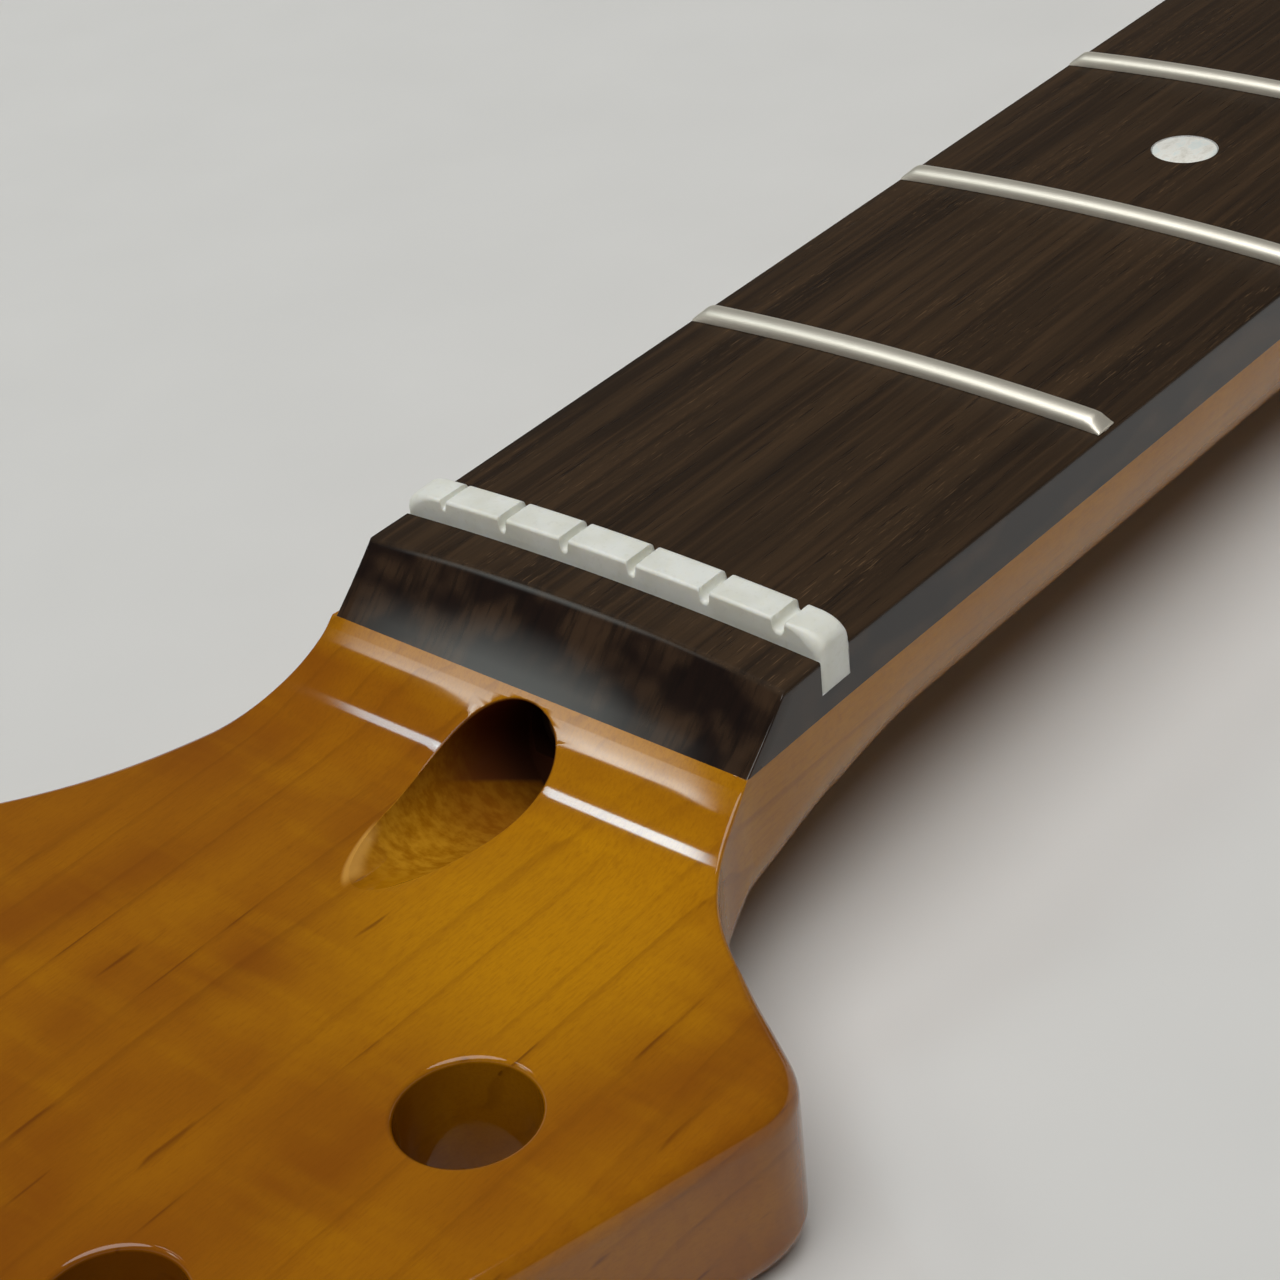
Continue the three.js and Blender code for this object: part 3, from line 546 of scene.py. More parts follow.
def slope_height(x):
    x = np.asarray(x, float)
    foot = FACE_Z + FOOT_RADIUS - np.sqrt(np.maximum(FOOT_RADIUS**2 - (x - FOOT_X) ** 2, 0))
    hollow = hollow_z - np.sqrt(np.maximum(HOLLOW_RADIUS**2 - (x - hollow_x) ** 2, 0))
    return np.where(x <= FOOT_X, FACE_Z, np.where(x <= JOIN_X, foot, hollow))


print(f"slope from {FOOT_X:.2f} by {JOIN_X:.2f} to the glue line at {GLUE_X:.2f} mm")

# %% [markdown]
# ## The headstock's outline
#
# Seen from above, each side of the headstock is a chain of cubic curves, as drawn with a French curve:
# the flare beside the nut, the corner, the long edge and the tip. A curve is kept as its control points,
# with the inner ones given as shares of its length and spread.

# %% The outline's curves
def on_curve(control, share):
    """Points on a Bezier curve of any degree at shares from 0 to 1."""
    share = np.atleast_1d(share)[:, None]
    degree = len(control) - 1
    weights = [math.comb(degree, i) * share**i * (1 - share) ** (degree - i) for i in range(degree + 1)]
    return sum(weight * point for weight, point in zip(weights, np.asarray(control, float)))


def swept(start, length, spread, inner, side):
    shares = [(0, 0), *inner, (1, 1)]
    return np.array([(start[0] - length * a, start[1] + side * spread * b) for a, b in shares])


LINE_ANGLE, TUNER_SPACING, EDGE_MARGIN = math.radians(15.5), 25.9, 13.5
tuner_way = np.array([-math.cos(LINE_ANGLE), math.sin(LINE_ANGLE)])
tuner_out = np.array([-math.sin(LINE_ANGLE), -math.cos(LINE_ANGLE)])
first_tuner = np.array([-46.2, -22.8])
tuner_places = [first_tuner + tuner_way * TUNER_SPACING * i for i in range(6)]
edge_margin = tuner_out * EDGE_MARGIN


def area_between(first, second):
    return first[0] * second[1] - first[1] * second[0]


FLARE_X = -9.0
bass_flare = swept((FLARE_X, -21), 21, 16.2, [(0.618, -0.05), (0.666, 0.359)], -1)
way_in = bass_flare[3] - bass_flare[2]
to_edge = tuner_places[0] + edge_margin - bass_flare[3]
corner = bass_flare[3] + way_in * (area_between(to_edge, tuner_way) / area_between(way_in, tuner_way))
edge_start = corner + tuner_way * 4.5
edge_end = tuner_places[5] + tuner_way * 9 + edge_margin
bass_tip = swept(edge_end, 10, 17, [(0.5, 0.1), (1.1, 0.5)], 1)
bass_corner, bass_edge = np.array([bass_flare[3], corner, edge_start]), np.array([edge_start, edge_end])
bass_curves = [bass_flare, bass_corner, bass_edge, bass_tip]

treble_flare = swept((FLARE_X, 21), 35, 14, [(0.31, 0.04), (0.76, 0.42)], 1)
shoulder = swept(treble_flare[3], 15, 2.3, [(0.19, 1.2), (0.6, 1.075)], 1)
treble_edge = swept(shoulder[3], 117, 10.3, [(0.3, 0.05), (0.72, 0.86)], -1)
to_tip = treble_edge[3] - bass_tip[3]
treble_tip = swept(treble_edge[3], to_tip[0], to_tip[1], [(0.55, 0.16), (0.98, 0.5)], -1)
treble_curves = [treble_flare, shoulder, treble_edge, treble_tip]
print("tip of the headstock at", np.round(bass_tip[3], 1))

# %% [markdown]
# ## The neck's sections
#
# A neck changes its section all the way: a flat slab at the headstock, a rounded shaft under the frets,
# and a slab again at the heel. A loft joins many cross-sections, which is how such a shape is drawn.
# Each section here is a ring of points between an edge point on the treble side and its match on the bass
# side, and a share from 0 to 1 says how much of it is shaft and how much is slab.

# %% The heights of the top and the back
SLAB_END, SHAFT_START, HEEL_RISE = -44, 14, 42
DEPTH_AT_FIRST, DEPTH_AT_TWELFTH = 21, 22.8


def soft_step(start, end, x):
    share = np.clip((x - start) / (end - start), 0, 1)
    return share * share * (3 - 2 * share)


def slab_share(x):
    return soft_step(SHAFT_START, SLAB_END, x) + soft_step(HEEL_START - HEEL_RISE, HEEL_START, x)


def back_height(x):
    growth = DEPTH_AT_TWELFTH - DEPTH_AT_FIRST
    depth = DEPTH_AT_FIRST + growth * (x - fret_x(1)) / (fret_x(12) - fret_x(1))
    return (DEPTH - depth) * (1 - slab_share(x))


def top_height(x):
    return np.where(x >= GLUE_X, GLUE_Z, slope_height(x))


print(f"the shaft is {DEPTH - float(back_height(fret_x(12))):.1f} mm deep at fret 12, with the fingerboard")

# %% One section as a ring
FACE_STEPS, EDGE_STEPS, BACK_STEPS = 28, 8, 80
FACE_EDGE, BACK_EDGE, HEEL_EDGE = 2.0, 3.0, 1.5
ROUNDNESS = 2.25
EDGE_EASING, EASING_RUN = 0.35, 1.2


def back_shares(share_of_slab, half_across, depth, edge):
    """The back as shares across, from 1 to -1, and down, from 0 to 1."""
    turn = np.linspace(0, math.pi, BACK_STEPS + 1)
    round_across = np.sign(np.cos(turn)) * np.abs(np.cos(turn)) ** (2 / ROUNDNESS)
    round_down = np.sin(turn).clip(0) ** (2 / ROUNDNESS)
    place = np.linspace(0, 20, BACK_STEPS + 1)
    from_side = np.minimum(place, 20 - place)
    corner_turn = np.clip((from_side - 1) / 3, 0, 1) * math.pi / 2
    inwards = 1 - np.clip((from_side - 4) / 6, 0, 1)
    slab_across = np.sign(10.001 - place) * (1 - edge / half_across * (1 - np.cos(corner_turn))) * inwards
    slab_down = np.minimum(from_side, 1) * (1 - edge / depth) + edge / depth * np.sin(corner_turn)
    pairs = [(round_across, slab_across), (round_down, slab_down)]
    return [shaft * (1 - share_of_slab) + slab * share_of_slab for shaft, slab in pairs]


def neck_ring(bass, treble):
    width = math.dist(bass, treble)
    middle = (bass[0] + treble[0]) / 2
    easing = EDGE_EASING * soft_step(GLUE_X, GLUE_X - EASING_RUN, middle)
    easing += (FACE_EDGE - EDGE_EASING) * soft_step(-18, -32, middle)
    edge = min(width / 4, easing)
    turn = np.linspace(0, math.pi / 2, EDGE_STEPS + 1)[1:-1]
    inset, drop = edge / width * (1 - np.sin(turn)), edge * (1 - np.cos(turn))
    face = np.linspace(edge / width, 1 - edge / width, FACE_STEPS + 1)
    slab_edge = min(BACK_EDGE if middle < 0 else HEEL_EDGE, width / 4)
    depth = float(top_height(middle)) - edge - float(back_height(middle))
    across, down = back_shares(float(slab_share(middle)), width / 2, depth, slab_edge)
    shares = np.concatenate([face, 1 - inset, (1 + across) / 2, inset[::-1]])
    points = np.asarray(treble) + shares[:, None] * (np.asarray(bass) - np.asarray(treble))
    x = points[:, 0]
    drops = np.concatenate([np.zeros(face.size), drop, np.full(down.size, edge), drop[::-1]])
    z = top_height(x) - drops
    low = slice(face.size + drop.size, face.size + drop.size + down.size)
    z[low] += (back_height(x[low]) - z[low]) * down
    return np.column_stack([points, z])


print("a section has", len(neck_ring((100, -23), (100, 23))), "points")

# %% [markdown]
# Sections lie close together where the shape turns quickly, at the foot of the slope and round the tip,
# and far apart along the shaft. At the heel's end the last few shrink a little, which rounds its edge.

# %% The sections along the neck
HEEL_ROUND = 6
fine = np.linspace(0, 1, 800)


def match_at(x):
    if x >= FLARE_X:
        return (x, -float(half_width(x))), (x, float(half_width(x)))
    lines = [on_curve(curve, fine) for curve in (bass_flare, treble_flare)]
    return tuple((x, float(np.interp(-x, -line[:, 0], line[:, 1]))) for line in lines)


def share_at(curve, x):
    return float(np.interp(-x, -on_curve(curve, fine)[:, 0], fine))


sections = []
for stretch, steps in enumerate([46, 20, 60, 44]):
    pair = bass_curves[stretch], treble_curves[stretch]
    shares = np.linspace(0, 1, steps + 1)[1:]
    if stretch == 3:
        shares = np.sin(shares[:-1] * math.pi / 2)
    starts = [share_at(curve, FOOT_X) if stretch == 0 else 0.0 for curve in pair]
    ends = [on_curve(curve, start + (1 - start) * shares) for curve, start in zip(pair, starts)]
    sections += [neck_ring(bass, treble) for bass, treble in zip(*ends)]
sections.reverse()

places = np.concatenate([
    np.linspace(FOOT_X, JOIN_X, 24)[:-1],
    np.linspace(JOIN_X, GLUE_X, 20)[:-1],
    np.linspace(GLUE_X, SHAFT_START, 30)[:-1],
    np.linspace(SHAFT_START, HEEL_START - HEEL_RISE, 60)[:-1],
    np.linspace(HEEL_START - HEEL_RISE, HEEL_START, 24)[:-1],
    np.linspace(HEEL_START, HEEL_END - HEEL_ROUND, 12),
])
sections += [neck_ring(*match_at(x)) for x in places]
for turn in np.linspace(0, math.pi / 2, 13)[1:]:
    (x, low), (_, high) = match_at(HEEL_END - HEEL_ROUND * (1 - math.sin(turn)))
    inset = HEEL_ROUND * (1 - math.cos(turn))
    sections.append(neck_ring((x, low + inset), (x, high - inset)))
print(len(sections), "sections from", round(sections[0][0, 0], 1), "to", round(sections[-1][0, 0], 1), "mm")

# %% [markdown]
# ## Holes with eased rims
#
# Lacquer never leaves a hole with a knife edge: it runs round the rim. A bevel on a carved rim is hard to
# keep even on a curved slope, so the cutters carry the easing themselves. A tuner hole's cutter flares
# like a trumpet at both faces.

# %% Cutters for the round holes
TUNER_RADIUS, TUNER_EASING, PAST_FACE = 5.0, 0.45, 2
SCREW_REACH = (25.4, 19.05)


def flared(name, place, low, high, radius, easing, around):
    """A round cutter along z that flares where it passes out of the faces at low and high."""
    turns = np.radians(np.linspace(0, 78, 8))
    out, up = easing * (1 - np.cos(turns)), easing * np.sin(turns)
    run = 1.2
    top = [(high - easing + u, radius + o) for o, u in zip(out, up)]
    top.append((top[-1][0] + run * math.cos(turns[-1]), top[-1][1] + run * math.sin(turns[-1])))
    top.append((high + PAST_FACE, top[-1][1]))
    bottom = [(low + high - z, r) for z, r in reversed(top)]
    return turned(name, (*place, 0), (0, 0, 1), bottom + top, around)


tuner_cutters = [flared("tuner hole", place, 0, FACE_Z, TUNER_RADIUS, TUNER_EASING, 64) for place in tuner_places]
pilot = [(-2, 2.1), (-0.5, 2.1), (0.5, 1.6), (13.2, 1.6), (14, 0.4)]
pilot_cutters = []
for way_along, way_across in [(-1, -1), (-1, 1), (1, -1), (1, 1)]:
    place = (SCREWS_X + way_along * SCREW_REACH[0], way_across * SCREW_REACH[1], 0)
    pilot_cutters.append(turned("pilot hole", place, (0, 0, 1), pilot, 32))
print(len(tuner_cutters), "tuner holes,", len(pilot_cutters), "screw holes")

# %% [markdown]
# The slanted cut that leads to the truss rod meets the slope at a different angle all round its rim. For
# each direction about its axis, a small circle is found that touches both the cut's wall and the slope,
# and the cutter follows that circle round the corner.

# %% The cutter for the slanted cut
RIM_EASING, CUT_END, PAST_HEADSTOCK = 0.16, -8.6, -34.0
LEAST_TURN = math.radians(9)
inwards, scoop_start = np.array(SCOOP_WAY), np.array(SCOOP_START)
scoop_end = (CUT_END - scoop_start[0]) / inwards[0]


def rim_profile(outwards):
    """The cutter's line in the half plane of one direction, as points from its inner end outwards."""
    def at(along, out):
        return scoop_start + along * inwards + out * outwards

    def above(along, out):
        """Height over the slope, and the way in which it grows fastest."""
        step = 0.01
        values = [at(along, out), at(along + step, out), at(along, out + step)]
        rise = [p[2] - float(slope_height(p[0])) for p in values]
        steep = np.array([(rise[1] - rise[0]) / step, (rise[2] - rise[0]) / step])
        return rise[0] / np.linalg.norm(steep), steep / np.linalg.norm(steep)

    near, far = -30.0, scoop_end + 3
    for _ in range(50):
        along = (near + far) / 2
        if above(along, SCOOP_RADIUS + RIM_EASING)[0] > -RIM_EASING:
            near = along
        else:
            far = along
    _, upright = above(along, SCOOP_RADIUS + RIM_EASING)
    start_turn = -math.pi / 2
    whole = (math.atan2(upright[1], upright[0]) - start_turn) % math.tau
    if whole > math.pi:
        whole -= math.tau
    sweep = math.copysign(max(abs(whole) - LEAST_TURN, abs(whole) * 0.5), whole)
    line = [(scoop_end, SCOOP_RADIUS)]
    for share in np.linspace(0, 1, 9):
        turn = start_turn + sweep * share
        line.append((along + RIM_EASING * math.cos(turn), SCOOP_RADIUS + RIM_EASING * (1 + math.sin(turn))))
    heading = start_turn + sweep + math.copysign(math.pi / 2, whole)
    for run in (0.6, 1.6):
        line.append((line[9][0] + run * math.cos(heading), line[9][1] + run * math.sin(heading)))
    line.append((PAST_HEADSTOCK, line[-1][1] + 1))
    return [at(a, o) for a, o in line]


side, lift = np.array([0.0, 1.0, 0.0]), np.array(SCOOP_LIFT)
lines = [rim_profile(math.cos(t) * side + math.sin(t) * lift) for t in np.arange(96) * math.tau / 96]
rings = [np.array([line[i] for line in lines]) for i in reversed(range(len(lines[0])))]
scoop_cutter = lofted("slanted cut", rings, maple)
bore_cutter = turned("bore", (-9.2, 0, ROD_Z), (1, 0, 0), [(0, BORE_RADIUS), (10.8, BORE_RADIUS)], 64)
CHANNEL_START, CHANNEL_END, CHANNEL_WIDTH, CHANNEL_FLOOR = 1, 430, 6.35, 9.9
channel_low = (CHANNEL_START, -CHANNEL_WIDTH / 2, CHANNEL_FLOOR)
channel_cutter = block("rod channel", channel_low, (CHANNEL_END, CHANNEL_WIDTH / 2, GLUE_Z + 4))
print("slanted cut's cutter:", len(scoop_cutter.data.polygons), "faces")

# %% [markdown]
# The blank is carved with every cutter in turn. Carving leaves long thin faces beside the rims, and they
# would bend a reflection that runs past. Weighted normals let the large faces decide how the surface
# shines, so the lacquer looks as even there as it is.

# %% The carved neck
neck = lofted("neck_wood", sections, maple)
print("blank:", len(neck.data.polygons), "faces")
carve(neck, *tuner_cutters, *pilot_cutters, channel_cutter, bore_cutter, scoop_cutter)
smooth_shade(neck, 35)
weights = neck.modifiers.new("weighted normals", "WEIGHTED_NORMAL")
weights.keep_sharp = True
freeze(neck)
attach(neck, "neck")
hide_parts("neck")
print("neck:", len(neck.data.polygons), "faces,", sum(len(p.vertices) - 2 for p in neck.data.polygons), "triangles")

# %% [markdown]
# ## The fingerboard
#
# A fingerboard follows one rule along all its length: a flat underside, sides that spread towards the
# heel, and a top that is part of a cylinder. Its end behind the nut is the hollow slope again. Geometry
# Nodes suit that, because a plain grid of points can be sent to its place by a few sums. The helpers below
# start a tree with named sizes, end it with a plain mesh and its finish, and run it on a new piece.

# %% Helpers for Geometry Nodes
def geometry_tree(name, **sizes):
    """A Geometry Nodes tree with named number inputs. Gives the tree and each input as a reading."""
    group = bpy.data.node_groups.new(name, "GeometryNodeTree")
    group.interface.new_socket("Geometry", in_out="OUTPUT", socket_type="NodeSocketGeometry")
    for label, size in sizes.items():
        kind = "NodeSocketInt" if isinstance(size, int) else "NodeSocketFloat"
        group.interface.new_socket(label, in_out="INPUT", socket_type=kind)
    tree = Tree(group)
    inputs = group.nodes.new("NodeGroupInput")
    return group, tree, {label: Reading(tree, inputs.outputs[label]) for label in sizes}


def end_geometry(group, tree, geometry, material):
    real = tree.add("GeometryNodeRealizeInstances", {}, {0: geometry})
    finished = tree.add("GeometryNodeSetMaterial", {}, {0: real, "Material": material})
    tree.add("NodeGroupOutput", {}, {0: finished})


def made_by_nodes(name, group, sizes):
    """A piece whose mesh the tree makes, with its inputs set by their identifiers."""
    piece = bpy.data.objects.new(name, bpy.data.meshes.new(name))
    bpy.context.scene.collection.objects.link(piece)
    maker = piece.modifiers.new("maker", "NODES")
    maker.node_group = group
    for item in group.interface.items_tree:
        if item.in_out == "INPUT":
            maker[item.identifier] = sizes[item.name]
    return piece


# %% [markdown]
# The tree starts from a cube of unit size, and reads its shares along, across and up as positions. The
# edges that lie above the glue line are marked by their angle, and a bevel then eases only those.

# %% The fingerboard by Geometry Nodes
EASING = 0.16
board_sizes = {
    "Glue height": GLUE_Z,
    "Full depth": DEPTH,
    "Top radius": TOP_RADIUS,
    "Nut half width": NUT_WIDTH / 2,
    "Widening": WIDENING,
    "Heel end": BOARD_END,
    "Slope radius": HOLLOW_RADIUS,
    "Slope centre x": hollow_x,
    "Slope centre z": hollow_z,
    "Origin x": SCREWS_X,
    "Points along": 240,
    "Points across": 37,
    "Points up": 9,
}
group, tree, size = geometry_tree("rounded fingerboard", **board_sizes)
counts = {"Vertices X": size["Points along"], "Vertices Y": size["Points across"], "Vertices Z": size["Points up"]}
cube = tree.add("GeometryNodeMeshCube", {}, {"Size": (1, 1, 1), **counts})
unit = tree.add("GeometryNodeInputPosition")
along, across, up = tree.part(unit, 0) + 0.5, tree.part(unit, 1) * 2, tree.part(unit, 2) + 0.5


def top_over(y):
    return (size["Top radius"].math("POWER", 2) - y * y).math("SQRT") + size["Full depth"] - size["Top radius"]


thickness_at_end = top_over(across * size["Nut half width"]) - size["Glue height"]
below_centre = size["Slope centre z"] - (size["Glue height"] + thickness_at_end * up)
reach = (size["Slope radius"].math("POWER", 2) - below_centre * below_centre).math("SQRT")
start_x = size["Slope centre x"] + reach
x = start_x + (size["Heel end"] - start_x) * along
y = across * (size["Nut half width"] + size["Widening"] * x.math("MAXIMUM", 0.0))
z = size["Glue height"] + (top_over(y) - size["Glue height"]) * up
spot = tree.vector((x - size["Origin x"]) / 1000, y / 1000, z / 1000)
shaped = tree.add("GeometryNodeSetPosition", {}, {0: cube, "Position": spot})
turn = tree.add("GeometryNodeInputMeshEdgeAngle")
just_over_glue = (size["Glue height"] + 0.01) / 1000
above_glue = tree.part(tree.add("GeometryNodeInputPosition"), 2).math("GREATER_THAN", just_over_glue)
weight = {"Name": "bevel_weight_edge", "Value": turn.math("GREATER_THAN", 0.6) * above_glue}
store = {"data_type": "FLOAT", "domain": "EDGE"}
end_geometry(group, tree, tree.add("GeometryNodeStoreNamedAttribute", store, {0: shaped, **weight}), rosewood)

board = made_by_nodes("fingerboard_wood", group, board_sizes)
ease = board.modifiers.new("eased edges", "BEVEL")
ease.width, ease.segments, ease.limit_method = EASING / 1000, 3, "WEIGHT"
freeze(board)
print("fingerboard blank:", len(board.data.polygons), "faces")

# %% [markdown]
# The blank then gets its slots and pockets. All of them are made as one set of cutters: a wide slot for
# the nut, a saw cut for each fret's tang, and round pockets for the dots.

# %% Slots and pockets
NUT_GAP, INLAY_GAP, DOT_RECESS = 0.06, 0.1, 0.03
SAW_WIDTH, SAW_DEPTH, SAW_INSET = 0.7, 1.7, 0.22
NUT_SLOT_HALF, SLOT_TOP = 34, 32
POCKET_DEPTH, SIDE_POCKET_DEPTH = 1.63, 2.65
DOT_RADIUS, SIDE_DOT_RADIUS, SIDE_DOT_DROP = 3.175, 1.0, 2.4
DOTTED = [3, 5, 7, 9, 12, 15, 17, 19, 21]


def edge_top(x):
    """The height of the fingerboard's top at its edge."""
    return float(board_top(half_width(x)))


def slot_cutter(low_x, high_x, half_length, floor):
    return block("slot", (low_x, -half_length, floor), (high_x, half_length, SLOT_TOP))


board_cutters = [slot_cutter(-NUT_THICKNESS - NUT_GAP, NUT_GAP, NUT_SLOT_HALF, NUT_FLOOR)]
for number in range(1, FRETS + 1):
    x = fret_x(number)
    half_length = float(half_width(x)) - SAW_INSET
    board_cutters.append(slot_cutter(x - SAW_WIDTH / 2, x + SAW_WIDTH / 2, half_length, edge_top(x) - SAW_DEPTH))

dot_places, side_places = [], []
for number in DOTTED:
    x = (fret_x(number - 1) + fret_x(number)) / 2
    dot_places += [(x, -11.0), (x, 11.0)] if number == 12 else [(x, 0.0)]
    side_places += [x - 3.5, x + 3.5] if number == 12 else [x]

dot_tops = [(x, y, float(board_top(y))) for x, y in dot_places]
dot_ways = [(0, y / TOP_RADIUS, math.sqrt(1 - (y / TOP_RADIUS) ** 2)) for x, y in dot_places]
side_tops = [(x, -float(half_width(x)), edge_top(x) - SIDE_DOT_DROP) for x in side_places]
pocket, side_pocket = DOT_RADIUS + INLAY_GAP, SIDE_DOT_RADIUS + INLAY_GAP
pocket_line = [(-POCKET_DEPTH, pocket), (3, pocket)]
side_line = [(-3, side_pocket), (SIDE_POCKET_DEPTH, side_pocket)]
board_cutters += [turned("pocket", top, way, pocket_line, 64) for top, way in zip(dot_tops, dot_ways)]
board_cutters += [turned("side pocket", top, (0, 1, 0), side_line, 32) for top in side_tops]

carve(board, *board_cutters)
smooth_shade(board, 40)
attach(board, "neck")
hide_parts("fingerboard")
print("fingerboard:", len(board.data.polygons), "faces after", len(board_cutters), "cuts")

# %% [markdown]
# ## The nut
#
# The nut is a small slab of bone white across the neck. Each string has a groove with a round floor and
# walls that lean out, and every edge was eased with a file. Its top is a rule in two directions, so it is
# lofted from rings whose height is the lower of the crowned top and the nearest groove, with a soft
# changeover that rounds the grooves' rims. Each groove has its middle, its width and its depth.

# %% The nut's rings
NUT_HEIGHT, GROOVE_TILT, GROOVE_FALL = 2.15, math.radians(6), math.tan(math.radians(3))
GROOVES = [
    (-17.2, 1.1, 0.89),
    (-10.3, 0.88, 0.89),
    (-3.2, 0.76, 0.89),
    (3.65, 0.74, 0.89),
    (10.15, 0.7, 0.93),
    (16.6, 0.5, 0.6),
]


def soft_lower(a, b, blend):
    """The lower of two heights, rounded where they meet."""
    share = np.clip((blend - np.abs(a - b)) / blend, 0, 1)
    return np.minimum(a, b) - share * share * blend / 4


def quarter_round(distance, radius):
    """How far an edge of this radius has fallen at a distance inside it."""
    return radius * (1 - np.sqrt(1 - (1 - np.clip(distance / radius, 0, 1)) ** 2))


def groove_height(y, middle, width, floor):
    radius = width / 2
    off = np.abs(y - middle)
    in_floor = np.minimum(off, radius * math.cos(GROOVE_TILT))
    wall = np.maximum(off - radius * math.cos(GROOVE_TILT), 0) / math.tan(GROOVE_TILT)
    return floor + radius - np.sqrt(radius**2 - in_floor**2) + wall


def nut_ring(x):
    from_front, from_fret = x + NUT_THICKNESS, -x
    half = NUT_WIDTH / 2 - float(quarter_round(from_front, 0.6))
    y = np.linspace(half, -half, 640)
    end_across = 2.1 + 0.3 * from_fret
    top = board_top(y) + NUT_HEIGHT - 1.25 / end_across * quarter_round(half - np.abs(y), end_across)
    for middle, width, depth in GROOVES:
        floor = board_top(middle) + NUT_HEIGHT - depth - GROOVE_FALL * from_fret
        top = soft_lower(top, groove_height(y, middle, width, floor), 0.12)
    front_radius = 0.28 + 0.8 * soft_step(17.8, 21, np.abs(y))
    top = top - quarter_round(from_front, front_radius) - quarter_round(from_fret, 0.6)
    base = [(x, -half, NUT_FLOOR), (x, half, NUT_FLOOR)]
    return np.concatenate([base, np.column_stack([np.full(y.size, x), y, top])])


print("grooves", [round(b[0] - a[0], 2) for a, b in zip(GROOVES, GROOVES[1:])], "mm apart")

# %% The nut
front_steps = 1 - np.cos(np.linspace(0, math.pi / 2, 14))
fret_steps = 1 - np.cos(np.linspace(math.pi / 2, 0, 8))
nut_places = [*(-NUT_THICKNESS + 1.1 * front_steps), *np.linspace(-2.1, -0.8, 5), *(-0.6 * fret_steps)]
nut = lofted("nut_bone", [nut_ring(x) for x in nut_places], bone)
smooth_shade(nut, 50)
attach(nut, "neck")
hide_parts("nut")
print("nut:", len(nut.data.polygons), "faces,", len(GROOVES), "grooves")

# %% [markdown]
# ## The frets
#
# A fret is one length of the same wire, cut a little longer each time and pressed in along the rounded
# top. The places follow from the octave: each fret is a twelfth root of two nearer to the bridge. So one
# short wire of unit length is drawn, and a tree puts a copy at each place, draws it out to the width
# there and bends it over the top. Its ends are filed to a slope, which must not stretch with the length.

# %% One unit of fret wire
WIRE_WIDTH, WIRE_HEIGHT, TANG_WIDTH, TANG_DEPTH = 2.4, 1.15, 0.5, 1.6
END_INSET, END_BEVEL = 0.25, 1.2


def wire_ring(y, height_share):
    turns = np.linspace(math.pi, 0, 15)
    full = WIRE_HEIGHT * height_share
    crown = [(WIRE_WIDTH / 2 * math.cos(t), y, full * max(math.sin(t), 0) ** 0.62) for t in turns]
    half = TANG_WIDTH / 2
    tang = [(half, y, 0), (half, y, -TANG_DEPTH), (-half, y, -TANG_DEPTH), (-half, y, 0)]
    return np.array(crown + tang)


ends = [(2.0, 0.22), (1.92, 0.3), (1.6, 0.55), (1.3, 0.8), (1.12, 0.93), (0.98, 1.0)]
shares = [(-y, h) for y, h in ends] + [(y, 1.0) for y in np.linspace(-0.9, 0.9, 19)] + ends[::-1]
wire = lofted("fret wire", [wire_ring(y, h) + (SCREWS_X, 0, 0) for y, h in shares], fret_metal)
for vertex in wire.data.vertices:
    vertex.co *= 1000
wire.hide_render = True
print("unit wire:", len(wire.data.polygons), "faces")

# %% The frets by Geometry Nodes
fret_sizes = {
    "Frets": FRETS,
    "Scale length": SCALE,
    "Nut half width": NUT_WIDTH / 2,
    "Widening": WIDENING,
    "End inset": END_INSET,
    "End bevel": END_BEVEL,
    "Top radius": TOP_RADIUS,
    "Board height": DEPTH + NUT_GAP,
    "Origin x": SCREWS_X,
}
group, tree, size = geometry_tree("frets along a scale", **fret_sizes)
number = tree.add("GeometryNodeInputIndex") + 1
fret_place = size["Scale length"] * (1 - (number / -12.0 * math.log(2)).math("EXPONENT"))
row = tree.add("GeometryNodePoints", {}, {"Count": size["Frets"], "Position": tree.vector(fret_place, 0.0, 0.0)})
store = {"data_type": "FLOAT", "domain": "POINT"}
marked = tree.add("GeometryNodeStoreNamedAttribute", store, {0: row, "Name": "fret place", "Value": fret_place})
unit_wire = tree.add("GeometryNodeObjectInfo", {}, {"Object": wire}, output=4)
copies = tree.add("GeometryNodeInstanceOnPoints", {}, {"Points": marked, "Instance": unit_wire})
wires = tree.add("GeometryNodeRealizeInstances", {}, {0: copies})
saved = tree.add("GeometryNodeInputNamedAttribute", {"data_type": "FLOAT"}, {"Name": "fret place"})
here = tree.add("GeometryNodeInputPosition")
share = tree.part(here, 1)
inner = share.math("MINIMUM", 1.0).math("MAXIMUM", -1.0)
half = size["Nut half width"] + size["Widening"] * saved - size["End inset"] - size["End bevel"]
y = inner * half + (share - inner) * size["End bevel"]
drop = size["Top radius"] - (size["Top radius"].math("POWER", 2) - y * y).math("SQRT")
z = tree.part(here, 2) + size["Board height"] - drop
spot = tree.vector((tree.part(here, 0) - size["Origin x"]) / 1000, y / 1000, z / 1000)
end_geometry(group, tree, tree.add("GeometryNodeSetPosition", {}, {0: wires, "Position": spot}), fret_metal)

frets = freeze(made_by_nodes("fret_wires", group, fret_sizes))
bpy.data.objects.remove(wire)
smooth_shade(frets, 40)
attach(frets, "neck")
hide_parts(*[f"fret_{n:02d}" for n in range(1, FRETS + 1)])
print("frets:", len(frets.data.polygons), "faces")

# %% [markdown]
# ## The dots
#
# Position dots are short rods of pearl let into the top, and smaller ones sit in the bass edge where the
# player sees them. Both are the same job: a rod at each of a few places. One tree does it. It takes the
# places as points that carry the way each rod faces, and gets its sizes as inputs.

